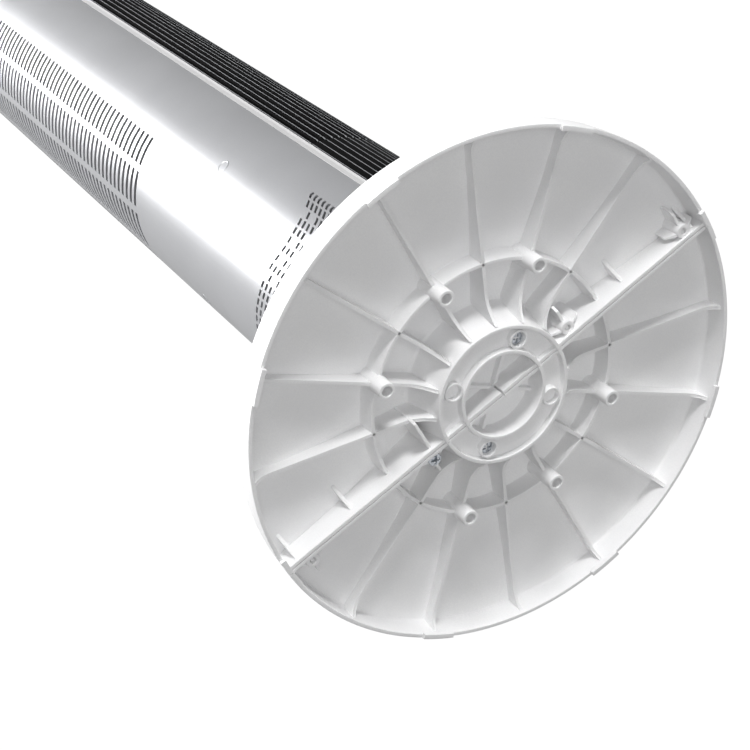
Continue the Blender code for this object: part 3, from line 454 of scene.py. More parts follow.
@dataclass
class Section:
    """The tower's plan: a round rear and a fuller round front that meet behind the trims."""

    rear: float
    front: float
    offset: float
    wall: float = 2.5 * MM

    def meet(self) -> tuple:
        """The angle of the junction about the axis and about the front centre.

        Returns:
            Both angles in degrees.
        """
        cosine = (self.rear ** 2 + self.offset ** 2 - self.front ** 2) / (2 * self.rear * self.offset)
        angle = math.degrees(math.acos(cosine))
        x, y = polar(self.rear, angle)
        return angle, math.degrees(math.atan2(x, -y - self.offset))

    def around(self, count: int = 144) -> tuple:
        """The closed outline and its outward directions.

        The rear arc turns about the axis and the front arc about the front centre, and the
        directions are averaged over neighbours, which softens the crease where they meet.

        Args:
            count: points on the outline.

        Returns:
            Points and unit directions, (n, 2) each.
        """
        rear_end, front_end = self.meet()
        rear_angles = np.linspace(rear_end, 360 - rear_end, int(count * 0.62), endpoint=False)
        front_angles = np.linspace(-front_end, front_end, count - len(rear_angles), endpoint=False)
        front = polar(self.front, front_angles, -self.offset)
        points = np.concatenate([polar(self.rear, rear_angles), front])
        facing = np.concatenate([polar(1, rear_angles), polar(1, front_angles)])
        facing = (np.roll(facing, 1, axis=0) + 2 * facing + np.roll(facing, -1, axis=0)) / 4
        return points, facing / np.linalg.norm(facing, axis=1, keepdims=True)

    def front_arc(self, start: float, end: float, count: int) -> tuple:
        """Part of the front arc: points and outward directions."""
        angles = np.linspace(start, end, count)
        return polar(self.front, angles, -self.offset), polar(1, angles)

    def rear_arc(self, start: float, end: float, count: int) -> tuple:
        """Part of the rear arc: points and outward directions."""
        angles = np.linspace(start, end, count)
        return polar(self.rear, angles), polar(1, angles)


SHELL_LOWEST, SHELL_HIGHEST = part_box("rear_shell")
PANEL_LOWEST, PANEL_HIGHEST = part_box("lower_front_panel")
TOP_LOWEST, TOP_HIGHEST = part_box("top_cover")
REAR_RADIUS = SHELL_HIGHEST[1]
FRONT_RADIUS = 65 * MM
TOWER = Section(REAR_RADIUS, FRONT_RADIUS, -TOP_LOWEST[1] - FRONT_RADIUS)


def wall_profile(low: float, high: float, wall: float, edge: float = 0.6 * MM, skin: float = 0.0
                 ) -> np.ndarray:
    """A rounded upright rectangle from u = skin in to u = skin - wall, the section of a wall.

    Args:
        low: bottom height.
        high: top height.
        wall: its thickness.
        edge: how far the outer corners are cut back.
        skin: how far its outer face stands from the path.

    Returns:
        The section as (u, v), (n, 2).
    """
    corners = [(skin, low), (skin, high), (skin - wall, high), (skin - wall, low)]
    return fillet(corners, [edge, edge, edge * 0.5, edge * 0.5])


# ---------------------------------------------------------------- sub-assemblies

@dataclass
class RearCasing:
    """The satin rear casing: a round wall with fine intake slots and short cooling slits."""

    start: float = 65.1
    low: float = SHELL_LOWEST[2]
    high: float = SHELL_HIGHEST[2]
    slot_pitch: float = 8.0 * MM
    slot_high: float = 4.0 * MM
    intake_low: float = 366 * MM
    intake_rows: int = 60
    bands: tuple = ((110.9, 127.8), (131.4, 151.5), (155.8, 177.7))
    slit_angles: tuple = (86.0, 90.6, 95.3, 100.0, 104.7, 109.6, 114.6, 120.0, 125.2, 130.5, 135.4, 140.3,
                          145.2, 150.1, 154.9, 160.4)
    slit_rise: tuple = (171.7, 165.4, 160.6, 157.0, 154.9, 153.6, 153.4, 155.3, 157.9, 159.7, 161.5, 162.8,
                        164.2, 166.0, 167.0, 168.6)
    slit_open: tuple = ((0, 1, 2, 3, 4, 5), (0, 1, 2, 3, 4, 5), (1, 3, 4), (0, 1, 2, 3), (0, 1, 2), (0, 2, 3),
                        (0, 1, 2, 3), (0, 2, 3), (0, 1, 2, 3), (1, 3), (0, 1, 2, 3), (0, 1, 2), (0, 1, 2),
                        (0, 1), (0, 1), (0,))
    slit_pitch: float = 5.35 * MM
    slit_high: float = 2.5 * MM
    slit_wide: float = 3.5
    slit_level: float = 160 * MM
    thin: float = 1.5 * MM

    def edges(self) -> tuple:
        """The grid's angles and heights, so that every slot and slit has its own cells.

        Returns:
            Sorted angles in degrees and heights in metres.
        """
        half = self.slit_wide / 2
        marks = np.concatenate([np.array(self.slit_angles) - half, np.array(self.slit_angles) + half,
                                np.array(self.bands).reshape(-1), [self.start, 180.0],
                                np.arange(self.start, 180, 3.0)])
        marks = np.concatenate([marks, 360 - marks])
        angles = np.unique(np.round(marks, 4))
        slots = self.intake_low + self.slot_pitch * np.arange(self.intake_rows)
        slits = self.slit_level - self.slit_pitch * np.arange(6)
        levels = np.concatenate([slots, slots + self.slot_high, slits - self.slit_high / 2,
                                 slits + self.slit_high / 2, [self.low, self.high],
                                 np.array([60, 95, 200, 260, 300]) * MM])
        return angles, np.unique(np.round(levels, 7))

    def open_cells(self, angles: np.ndarray, levels: np.ndarray) -> np.ndarray:
        """Marks which cells are solid.

        Args:
            angles: the grid's angles.
            levels: the grid's heights.

        Returns:
            Booleans, (heights - 1, angles - 1), true where there is wall.
        """
        middle = (angles[:-1] + angles[1:]) / 2
        side = np.where(middle > 180, 360 - middle, middle)[None, :]
        height = ((levels[:-1] + levels[1:]) / 2)[:, None]
        step = (height - self.intake_low) / self.slot_pitch
        in_slot = (step >= 0) & (step < self.intake_rows) & (step % 1 < self.slot_high / self.slot_pitch)
        hole = np.zeros((len(levels) - 1, len(middle)), bool)
        for start, end in self.bands:
            hole |= in_slot & (side > start) & (side < end)
        for angle, columns in zip(self.slit_angles, self.slit_open):
            beside = np.abs(side - angle) < self.slit_wide / 2
            for column in columns:
                at = self.slit_level - column * self.slit_pitch
                hole |= beside & (np.abs(height - at) < self.slit_high / 2)
        return ~hole

    def build(self, workshop: Workshop) -> None:
        """Makes the wall: point = (R sin a, -R cos a, z + rise(a) fade(z)), where rise lifts the slits
        towards the trims and fade is one at the slits and nothing at the ends.

        Args:
            workshop: where the piece is dressed.
        """
        angles, levels = self.edges()
        keep = self.open_cells(angles, levels)
        side = np.where(angles > 180, 360 - angles, angles)
        rise = np.interp(side, self.slit_angles, np.array(self.slit_rise) * MM) - self.slit_level
        fade = np.interp(levels, [self.low, 95 * MM, 125 * MM, 165 * MM, 200 * MM, 300 * MM],
                         [0, 0.25, 1, 1, 1, 0])
        plan = np.broadcast_to(polar(REAR_RADIUS, angles)[None], (len(levels), len(angles), 2))
        height = levels[:, None] + fade[:, None] * rise[None, :]
        points = np.concatenate([plan, height[..., None]], axis=-1)
        piece = Surface().grid(points, keep=keep).make("rear_casing")
        wall = piece.modifiers.new("wall", "SOLIDIFY")
        wall.thickness = self.thin
        wall.offset = -1.0
        work = bmesh.new()
        work.from_mesh(piece.data)
        bmesh.ops.recalc_face_normals(work, faces=work.faces)
        work.faces.ensure_lookup_table()
        first = work.faces[0]
        if first.normal.dot(first.calc_center_median()) < 0:
            bmesh.ops.reverse_faces(work, faces=work.faces)
        work.to_mesh(piece.data)
        work.free()
        settle(piece, 30)
        workshop.place(piece, SATIN_ABS, "satin_white_abs", "tower", "rear_shell")


@dataclass
class ScrewPlugs:
    """The six satin plugs that close the casing's screw holes, each a shallow dish."""

    radius: float = 4.6 * MM
    angles: tuple = (-100.7, 100.7, 180.0)

    def build(self, workshop: Workshop) -> None:
        """Makes each plug as rings about its own level axis, each standing off the round wall by a step.

        Args:
            workshop: where the piece is dressed.
        """
        radii = np.array([0.02, 0.3, 0.6, 0.8, 0.9, 1.0, 1.0, 0.02]) * self.radius
        stand = np.array([-0.5, -0.46, -0.3, -0.05, 0.3, 0.1, -1.2, -1.2]) * MM
        turn = np.radians(np.linspace(0, 360, 40, endpoint=False))
        surface = Surface()
        low, high = (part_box(f"shell_screw_{number}") for number in (1, 6))
        levels = sorted({round(float((corner[0][2] + corner[1][2]) / 2), 3) for corner in (low, high)})
        for level in levels:
            for angle in self.angles:
                facing = polar(1, angle)
                across = np.array([-facing[1], facing[0]])
                wide = radii[:, None] * np.cos(turn)[None, :]
                tall = radii[:, None] * np.sin(turn)[None, :] + level
                sag = REAR_RADIUS - wide ** 2 / (2 * REAR_RADIUS) + stand[:, None]
                plan = sag[..., None] * facing + wide[..., None] * across
                surface.grid(np.concatenate([plan, tall[..., None]], axis=-1), around=True, caps=True)
        workshop.place(settle(surface.make("screw_plugs"), 40), SATIN_ABS, "satin_white_abs", "tower")


@dataclass
class Front:
    """The black front: upright fins over the air outlet, the lower panel, and the white frame."""

    limit: float = 72.6
    step: float = 4.5
    fin_wide: float = 4.0 * MM
    fin_deep: float = 7.0 * MM
    line_wide: float = 0.45 * MM
    band: float = 12 * MM
    joint: float = 235 * MM
    gap: float = 0.3 * MM
    trim_rear_end: float = 64.8

    def fin_angles(self) -> np.ndarray:
        """The angles of the fins on the front arc."""
        count = int(self.limit // self.step)
        return np.arange(-count, count + 1) * self.step

    def upright_bar(self, angle: float, wide: float, outer: float, inner: float, low: float, high: float
                    ) -> np.ndarray:
        """A rounded bar that stands along the tower at one angle of the front arc.

        Args:
            angle: degrees on the front arc.
            wide: its width across.
            outer: how far its outer face stands from the arc.
            inner: the same for its inner face.
            low: bottom height.
            high: top height.

        Returns:
            The grid of the bar.
        """
        section = fillet([(-wide / 2, inner), (wide / 2, inner), (wide / 2, outer), (-wide / 2, outer)],
                         [wide * 0.2, wide * 0.2, wide * 0.45, wide * 0.45], 3)
        centre, facing = polar(TOWER.front, angle, -TOWER.offset), polar(1, angle)
        across = np.array([-facing[1], facing[0]])
        plan = centre + section[:, :1] * across + section[:, 1:] * facing
        return raised(plan, np.array([low, high]))

    def build_grille(self, workshop: Workshop) -> None:
        """Fins every few degrees, an end band above and below, and level stays behind them.

        Args:
            workshop: where the pieces are dressed.
        """
        low, high = self.joint + self.gap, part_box("front_grille")[1][2]
        surface = Surface()
        for angle in self.fin_angles():
            surface.grid(self.upright_bar(angle, self.fin_wide, -0.25 * MM, -self.fin_deep, low + 3 * MM,
                                          high - 3 * MM), around=True, caps=True)
        path, facing = TOWER.front_arc(-self.limit, self.limit, 61)
        for bottom in (low, high - 7 * MM):
            rim = wall_profile(bottom, bottom + 7 * MM, 6 * MM, skin=-0.8 * MM)
            surface.grid(carried(path, facing, rim), around=True, caps=True)
        for height in np.linspace(low + 70 * MM, high - 70 * MM, 9):
            stay = wall_profile(height - 0.8 * MM, height + 0.8 * MM, 3 * MM, 0.3 * MM, -3.9 * MM)
            surface.grid(carried(path, facing, stay), around=True, caps=True)
        piece = settle(surface.make("outlet_grille"))
        workshop.place(piece, BLACK_ABS, "black_abs", "tower", "front_grille")
        self.build_lines(workshop, "grille_lines", low + 0.6 * MM, high - 1 * MM)

    def build_lines(self, workshop: Workshop, name: str, low: float, high: float) -> None:
        """The pale line on the edge of every fin.

        Args:
            workshop: where the piece is dressed.
            name: the piece's name.
            low: bottom height.
            high: top height.
        """
        surface = Surface()
        for angle in self.fin_angles():
            bar = self.upright_bar(angle, self.line_wide, -0.05 * MM, -0.8 * MM, low, high)
            surface.grid(bar, around=True, caps=True)
        workshop.place(settle(surface.make(name)), EDGE_GREY, "satin_white_abs", "tower")

    def build_panel(self, workshop: Workshop) -> None:
        """The lower panel: the front arc as a wall, shallow grooved between its lines.

        Args:
            workshop: where the pieces are dressed.
        """
        path, facing = TOWER.front_arc(-self.limit, self.limit, 193)
        angles = np.linspace(-self.limit, self.limit, 193)
        groove = 0.12 * MM * (0.5 - 0.5 * np.cos(2 * np.pi * angles / self.step))
        path = path - facing * groove[:, None]
        low, high = PANEL_LOWEST[2], PANEL_HIGHEST[2]
        grid = carried(path, facing, wall_profile(low, high, 2.4 * MM, 0.8 * MM, -0.2 * MM))
        piece = settle(Surface().grid(grid, around=True, caps=True).make("lower_panel"))
        workshop.place(piece, BLACK_ABS, "black_abs", "tower", "lower_front_panel")
        self.build_lines(workshop, "panel_lines", low + 0.6 * MM, high - 0.6 * MM)

    def build_frame(self, workshop: Workshop) -> None:
        """The white frame: a side rail at each edge and a band at the top and the foot.

        Args:
            workshop: where the pieces are dressed.
        """
        low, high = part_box("front_frame")
        rear_start, front_end = TOWER.meet()
        surface = Surface()
        for side in (-1, 1):
            outer, facing = TOWER.rear_arc(side * rear_start, side * self.trim_rear_end, 7)
            edge, edge_facing = TOWER.front_arc(side * (self.limit + 0.3), side * (front_end - 0.3), 3)
            outer, facing = np.concatenate([edge, outer]), np.concatenate([edge_facing, facing])
            section = np.concatenate([outer, (outer - facing * 3.2 * MM)[::-1]])
            surface.grid(raised(section, np.array([low[2], low[2] + 1 * MM, high[2] - 1 * MM, high[2]])),
                         around=True, caps=True)
        path, facing = TOWER.front_arc(-front_end + 0.2, front_end - 0.2, 61)
        for bottom in (low[2], high[2] - self.band):
            profile = wall_profile(bottom, bottom + self.band - self.gap, 2.8 * MM)
            surface.grid(carried(path, facing, profile), around=True, caps=True)
        piece = settle(surface.make("white_frame"))
        workshop.place(piece, WHITE_ABS, "white_abs", "tower", "front_frame")

    def build(self, workshop: Workshop) -> None:
        """Builds the grille, the panel and the frame.

        Args:
            workshop: where the pieces are dressed.
        """
        self.build_grille(workshop)
        self.build_panel(workshop)
        self.build_frame(workshop)


@dataclass
class TopCover:
    """The satin cap: a rounded shoulder that runs in to the round well of the control panel."""

    well: float = 52.3 * MM
    well_deep: float = 2.6 * MM
    ledge: float = 6 * MM
    shoulder: float = 9 * MM

    def build(self, workshop: Workshop) -> None:
        """Makes the cap: each row is the outline drawn in by u, blended to the round well by w.

        Args:
            workshop: where the piece is dressed.
        """
        low, high = TOP_LOWEST[2], TOP_HIGHEST[2]
        points, facing = TOWER.around(192)
        round_in = points / np.linalg.norm(points, axis=1, keepdims=True)
        turn = np.radians(np.linspace(0, 90, 7))
        inset = np.concatenate([[0.4 * MM, 0, 0, 0], self.shoulder * (1 - np.cos(turn))])
        height = np.concatenate([[low, low + 0.6 * MM, low + 3 * MM, high - self.shoulder - 4 * MM],
                                 high - self.shoulder * (1 - np.sin(turn))])
        rows = [np.concatenate([points - facing * u, np.full((len(points), 1), v)], axis=1)
                for u, v in zip(inset, height)]
        floor = high - self.well_deep
        for radius, v in ((self.well + 0.5 * MM, high), (self.well, high - 0.5 * MM), (self.well, floor),
                          (self.well - self.ledge, floor), (self.well - self.ledge, floor - 1.8 * MM)):
            rows.append(np.concatenate([round_in * radius, np.full((len(points), 1), v)], axis=1))
        for u, v in ((7 * MM, high - 6 * MM), (2.5 * MM, high - 12 * MM), (2.5 * MM, low + 1 * MM),
                     (2 * MM, low)):
            rows.append(np.concatenate([points - facing * u, np.full((len(points), 1), v)], axis=1))
        piece = settle(Surface().grid(np.array(rows), around=True, along=True).make("cap"), 40)
        workshop.place(piece, SATIN_ABS, "satin_white_abs", "tower", "top_cover")


@dataclass
class Impeller:
    """The black cross-flow impeller: many curved blades between level discs."""

    blades: int = 30
    outer: float = 41.5 * MM
    inner: float = 31 * MM
    thick: float = 1.0 * MM
    discs: int = 10

    def build(self, workshop: Workshop) -> None:
        """Makes each blade as an arc section carried up the impeller, then the rings that hold them.

        Args:
            workshop: where the piece is dressed.
        """
        low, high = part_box("impeller")
        centre = np.array([(low[0] + high[0]) / 2, (low[1] + high[1]) / 2])
        heights = np.array([low[2] + 1 * MM, high[2] - 1 * MM])
        along = np.linspace(0, 1, 6)
        radius = self.inner + (self.outer - self.inner) * along
        sweep = 14 * along ** 2
        surface = Surface()
        for index in range(self.blades):
            turn = index * 360 / self.blades + sweep
            middle = polar(radius, turn)
            side = polar(self.thick / 2, turn + 90)
            section = np.concatenate([middle + side, (middle - side)[::-1]]) + centre
            surface.grid(raised(section, heights), around=True, caps=True)
        turn = np.linspace(0, 360, 72, endpoint=False)
        for height in np.linspace(low[2], high[2] - 2 * MM, self.discs):
            profile = fillet([(self.outer + 0.4 * MM, height), (self.outer + 0.4 * MM, height + 2 * MM),
                              (10 * MM, height + 2 * MM), (10 * MM, height)], [0.4 * MM] * 4, 2)
            path = np.zeros((72, 2)) + centre
            surface.grid(carried(path, polar(1, turn), profile), around=True, along=True)
        piece = settle(surface.make("blower"))
        workshop.place(piece, BLACK_ABS, "black_abs", "impeller", "impeller")


@dataclass
class Base:
    """The white round base, moulded in two halves: domed skin, rings, ribs, bosses, cups and clips."""

    radius: float = 150 * MM
    side_top: float = 149 * MM
    rim_wall: float = 2.4 * MM
    foot: float = 2 * MM
    skin: float = 2.5 * MM
    rim_top: float = 19.5 * MM
    hub_top: float = 30 * MM
    plateau: float = 50 * MM
    crown_edge: float = 146 * MM
    lip: float = 0.6 * MM
    rib_low: float = 10.3 * MM
    rib_wide: float = 1.9 * MM
    second_ring: float = 74.8 * MM
    hub_ring: float = 39.5 * MM
    inner_ring: float = 25.2 * MM
    ring_wall: float = 2.1 * MM
    boss_circle: float = 74 * MM
    cup_circle: float = 32 * MM
    clip_radii: tuple = (50.5 * MM, 135 * MM)
    clip_aside: float = 5.2 * MM
    clip_low: float = 3.6 * MM
    annulus: float = 5 * MM
    pan: float = 15 * MM
    screw_head: float = 3.9 * MM
    boss_outer: float = 4.7 * MM
    boss_foot: float = 5.6 * MM
    boss_bore: float = 3.0 * MM
    boss_end: float = 18 * MM
    cup_outer: float = 5.6 * MM
    cup_foot: float = 6.0 * MM
    cup_bore: float = 4.3 * MM
    cup_low: float = 1.2 * MM
    cup_seat: float = 7 * MM
    cup_end: float = 16 * MM
    clip_outer: float = 4.1 * MM
    clip_foot: float = 4.6 * MM
    clip_bore: float = 1.8 * MM
    clip_end: float = 14 * MM
    rib_step: float = 22.5
    gap: float = 0.3 * MM

    def crown(self, radius: np.ndarray | float) -> np.ndarray:
        """The top face's height: a flat plateau, then a falling parabola of the radius."""
        span = np.clip((np.asarray(radius) - self.plateau) / (self.crown_edge - self.plateau), 0, 1)
        return self.rim_top + (self.hub_top - self.rim_top) * (1 - span) ** 2

    def hanging(self, radius: float, low: float, flare: float, outside: float | None = None,
                inside: float | None = None) -> list:
        """Corners of a ring wall under the skin, walked inwards, each with its rounding.

        Args:
            radius: the wall's middle.
            low: the height of its lip.
            flare: how far its outer foot spreads.
            outside: the floor's height outside it, or none for the skin's underside.
            inside: the same inside it.

        Returns:
            Pairs of a corner and its radius.
        """
        outer, inner = radius + self.ring_wall / 2, radius - self.ring_wall / 2
        start = float(self.crown(outer)) - self.skin if outside is None else outside
        end = float(self.crown(inner)) - self.skin if inside is None else inside
        return [((outer + flare, start), flare * 0.6 + 0.8 * MM), ((outer, low), 0.4 * MM),
                ((inner, low), 0.4 * MM), ((inner, end), 0.8 * MM)]

    def skin_profile(self) -> np.ndarray:
        """The half's section as (radius, height): crown, shoulder, rim, underside and its three rings.

        Returns:
            The rounded closed outline.
        """
        rows = [((0.05 * MM, self.hub_top), 0.0), ((self.plateau, self.hub_top), 0.0)]
        dome = np.linspace(self.plateau + 8 * MM, self.crown_edge - 4 * MM, 9)
        rows += [((r, float(self.crown(r))), 0.0) for r in dome]
        rows += [((self.side_top, self.rim_top - 0.2 * MM), 2.6 * MM), ((self.radius, self.foot), 0.5 * MM),
                 ((self.radius - self.rim_wall, self.foot), 0.5 * MM),
                 ((self.radius - self.rim_wall - 0.8 * MM, self.rim_top - self.skin - 0.6 * MM), 2.0 * MM)]
        ceiling = np.linspace(self.crown_edge - 5 * MM, 82 * MM, 8)
        rows += [((r, float(self.crown(r)) - self.skin), 0.0) for r in ceiling]
        rows += self.hanging(self.second_ring, self.rib_low, 0.6 * MM)
        rows += self.hanging(self.hub_ring, self.lip, 5 * MM, None, self.annulus)
        rows += self.hanging(self.inner_ring, self.lip, 0.4 * MM, self.annulus, self.pan)
        rows += [((0.05 * MM, self.pan), 0.0)]
        return fillet([corner for corner, _ in rows], [r for _, r in rows], 4)

    def stood(self, outline: np.ndarray, wide: float, angle: float, at: tuple = (0, 0), aside: float = 0.0
              ) -> np.ndarray:
        """A plate on edge: outline (distance, height) along a radius, rounded at its two faces.

        The four rows are the outline drawn in a little, at half the width either side and full size
        just inside them, which eases the plate's edges.

        Args:
            outline: (distance, height) of the plate's edge.
            wide: its thickness.
            angle: the direction it runs, degrees from the front.
            at: where distance zero stands.
            aside: how far the plate's middle lies to the side.

        Returns:
            The grid, (4, n, 3).
        """
        along = polar(1, angle)
        across = np.array([-along[1], along[0]])
        middle = outline.mean(axis=0)
        inward = middle - outline
        inward = inward / np.linalg.norm(inward, axis=1, keepdims=True)
        drawn = outline + inward * wide * 0.16
        rows = []
        for shape, side in ((drawn, -0.5), (outline, -0.34), (outline, 0.34), (drawn, 0.5)):
            plan = np.array(at) + shape[:, :1] * along + (side * wide + aside) * across
            rows.append(np.concatenate([plan, shape[:, 1:]], axis=1))
        return np.array(rows)

    def rib_outline(self) -> np.ndarray:
        """A rib's edge: foot at the rim, level reach, then a sweep t^2.2 down to the hub's lip.

        Returns:
            The outline as (radius, height), (n, 2).
        """
        rim = self.radius - self.rim_wall / 2
        top = np.linspace(self.hub_ring, rim, 14)
        upper = np.stack([top, self.crown(top) - self.skin / 2], axis=1)
        foot = np.array([(rim, 5 * MM), (rim - 1.6 * MM, 5 * MM), (rim - 4 * MM, 7.6 * MM),
                         (rim - 7.5 * MM, 9.6 * MM), (rim - 12 * MM, self.rib_low)])
        t = np.linspace(0, 1, 9)
        reach = 58 * MM + (self.hub_ring - 56 * MM) * t
        drop = self.rib_low - (self.rib_low - 2 * MM) * t ** 2.2
        sweep = np.stack([reach, drop], axis=1)
        return np.concatenate([upper, foot, sweep])

    def tube(self, surface: Surface, place: np.ndarray, outer: float, top_outer: float, bore: float,
             low: float, seat: float) -> None:
        """A round boss with a blind bore, turned about its own upright axis.

        Args:
            surface: where the boss goes.
            place: its centre in plan.
            outer: radius at the lip.
            top_outer: radius where it meets the skin.
            bore: radius of the hole.
            low: height of the lip.
            seat: height of the bore's end.
        """
        top = float(self.crown(np.linalg.norm(place))) - self.skin / 2
        axis = 0.02 * MM
        corners = [(axis, top), (top_outer, top), (outer, low), (bore, low), (bore, seat), (axis, seat)]
        profile = fillet(corners, [0, 0, 0.4 * MM, 0.3 * MM, 0.2 * MM, 0], 3)
        path = np.zeros((28, 2)) + place
        facing = polar(1, np.linspace(0, 360, 28, endpoint=False))
        surface.grid(carried(path, facing, profile), around=True, along=True)

    def clip(self, surface: Surface, radius: float, angle: float, side: int) -> None:
        """A clip boss beside the seam, with a screw hole, two sloped wings and a web to the seam wall.

        Args:
            surface: where the clip goes.
            radius: how far out it stands.
            angle: the seam arm's direction.
            side: +1 or -1, the side of the seam.
        """
        place = polar(radius, angle) + np.array([self.clip_aside * side, 0])
        self.tube(surface, place, self.clip_outer, self.clip_foot, self.clip_bore, self.clip_low,
                  self.clip_end)
        top = float(self.crown(radius)) - self.skin / 2
        for end in (-1, 1):
            wing = np.array([(3.6 * MM, self.clip_low + 1 * MM), (6 * MM, self.clip_low + 2 * MM),
                             (10 * MM, 9 * MM), (10 * MM, top), (3.2 * MM, top)])
            surface.grid(self.stood(wing, 1.8 * MM, 90 * (1 - end), place), around=True, caps=True)
        start = -self.clip_aside + 1 * MM
        web = np.array([(start, self.clip_low + 1.4 * MM), (11 * MM, self.clip_low + 3 * MM),
                        (13 * MM, 10 * MM), (13 * MM, top), (start, top)])
        surface.grid(self.stood(web, 1.8 * MM, 90 * side, place), around=True, caps=True)

    def gussets(self, surface: Surface, side: int) -> None:
        """Triangular props between the seam wall and the skin, on one side of both arms.

        Args:
            surface: where the props go.
            side: +1 or -1, the side of the seam.
        """
        front, rear = ((92, 141), (102, 141)) if side < 0 else ((102, 141), (92, 141))
        for angle, places in ((0, front), (180, rear)):
            for radius in places:
                high = float(self.crown(radius * MM)) - self.skin / 2
                shape = np.array([(0.5 * MM, high), (0.5 * MM, high - 13 * MM), (2.5 * MM, high - 13 * MM),
                                  (13 * MM, high - 1.6 * MM), (13 * MM, high)])
                plate = self.stood(shape, 2 * MM, 90 * side, tuple(polar(radius * MM, angle)))
                surface.grid(plate, around=True, caps=True)

    def half(self, side: int) -> Surface:
        """Everything on one side of the seam.

        Args:
            side: +1 for the +X half, -1 for the other.

        Returns:
            The half's surface.
        """
        surface = Surface()
        turn = np.linspace(0, 180, 109) * side
        skin = carried(np.zeros((len(turn), 2)), polar(1, turn), self.skin_profile())
        surface.grid(skin, around=True, caps=True)
        rim = self.radius - self.rim_wall / 2
        for index in range(1, 8):
            rib = self.stood(self.rib_outline(), self.rib_wide, side * index * self.rib_step)
            surface.grid(rib, around=True, caps=True)
        for index in range(0, 9, 2):
            angles = np.clip(index * self.rib_step + np.linspace(-3.8, 3.8, 9), 0, 180) * side
            land = wall_profile(0, self.foot + 0.8 * MM, self.rim_wall + 0.5 * MM, 0.3 * MM,
                                self.radius - 0.2 * MM)
            surface.grid(carried(np.zeros((9, 2)), polar(1, angles), land), around=True, caps=True)
            if index % 8:
                place = polar(self.boss_circle, side * index * self.rib_step)
                self.tube(surface, place, self.boss_outer, self.boss_foot, self.boss_bore, self.lip,
                          self.boss_end)
        for angle in (45, 135):
            seated = side * angle in (-45, 135)
            self.tube(surface, polar(self.cup_circle, side * angle), self.cup_outer, self.cup_foot,
                      self.cup_bore, self.cup_low, self.cup_seat if seated else self.cup_end)
            reach = self.inner_ring
            ceiling = self.hub_top - 1 * MM
            cross = np.array([(0, 11 * MM), (reach, 11 * MM), (reach, ceiling), (0, ceiling)])
            surface.grid(self.stood(cross, self.rib_wide, side * angle), around=True, caps=True)
        out = np.linspace(0.5 * MM, rim, 16)
        upper = np.stack([out, self.crown(out) - self.skin / 2], axis=1)
        seam = np.concatenate([upper, [(rim, self.foot + 0.5 * MM), (0.5 * MM, 1.5 * MM)]])
        for angle in (0, 180):
            shift = 1.1 * MM * side * (1 if angle == 0 else -1)
            surface.grid(self.stood(seam, 2.1 * MM, angle, aside=shift), around=True, caps=True)
        for radius in self.clip_radii:
            self.clip(surface, radius, 0 if side < 0 else 180, side)
        self.gussets(surface, side)
        if side < 0:
            ceiling = self.hub_top - 2 * MM
            corners = [(0, 4 * MM), (21 * MM, 4 * MM), (21 * MM, ceiling), (0, ceiling)]
            guard = fillet(corners, [0, 3 * MM, 0, 0], 4)
            surface.grid(self.stood(guard, 1.8 * MM, -90, (-1 * MM, 49 * MM)), around=True, caps=True)
        return surface

    def screw(self, name: str, place: np.ndarray, low: float, head: float, turn: float) -> bpy.types.Object:
        """A pan-head screw seen from below: a domed head with a cross recess.

        The head's face rises as the square of the radius from its middle, then turns over at the edge,
        and the recess sinks it where the nearer of the two arms is within the arm's half width.

        Args:
            name: the piece's name.
            place: its centre in plan.
            low: the lowest height of the head.
            head: the head's radius.
            turn: how far the recess is turned, degrees.

        Returns:
            The screw.
        """
        radii = np.concatenate([np.linspace(0.02, 0.86, 12), [0.93, 0.98, 1.0, 1.0, 0.5, 0.5]]) * head
        dome = 0.06 + 0.35 * np.linspace(0.02, 0.86, 12) ** 2
        rise = np.concatenate([dome, [0.42, 0.6, 0.85, 1.0, 1.0, 4.0]])
        angles = np.linspace(0, 360, 48, endpoint=False)
        plan = polar(radii[:, None], angles[None, :] + turn)
        flat = polar(radii[:, None], angles[None, :])
        arm = np.minimum(np.abs(flat[..., 0]), np.abs(flat[..., 1])) < head * 0.17
        sunk = (arm & (radii[:, None] < head * 0.66)) * 0.55 * head
        height = low + rise[:, None] * head * 0.45 + sunk
        grid = np.concatenate([plan + place, height[..., None]], axis=-1)
        surface = Surface().grid(grid, around=True)
        last = np.arange(48)
        surface.add(grid[0], [last[None]])
        surface.add(grid[-1], [last[None, ::-1]])
        return settle(surface.make(name), 40)

    def build(self, workshop: Workshop) -> None:
        """Builds both halves and the three screws that show.

        Args:
            workshop: where the pieces are dressed.
        """
        for name, side in (("base_half_left", -1), ("base_half_right", 1)):
            surface = self.half(side)
            squeeze = 1 - self.gap / 2 / self.radius
            for points in surface.points:
                points[:, 0] = points[:, 0] * squeeze + side * self.gap / 2
            piece = settle(surface.make(name + "_moulding"), 26)
            workshop.place(piece, WHITE_ABS, "white_abs", "base", name)
        for number, angle in enumerate((135, -45), 1):
            node = f"hub_screw_{number}"
            place = polar(self.cup_circle, angle)
            piece = self.screw(node + "_head", place, 3.4 * MM, self.screw_head, 20 * number)
            workshop.place(piece, ZINC, "zinc_plated_steel", "base", node)
        place = polar(self.clip_radii[0], 180) + np.array([self.clip_aside, 0])
        piece = self.screw("seam_screw_head", place, 2.2 * MM, self.screw_head, 30)
        workshop.place(piece, ZINC, "zinc_plated_steel", "base", "seam_screw")


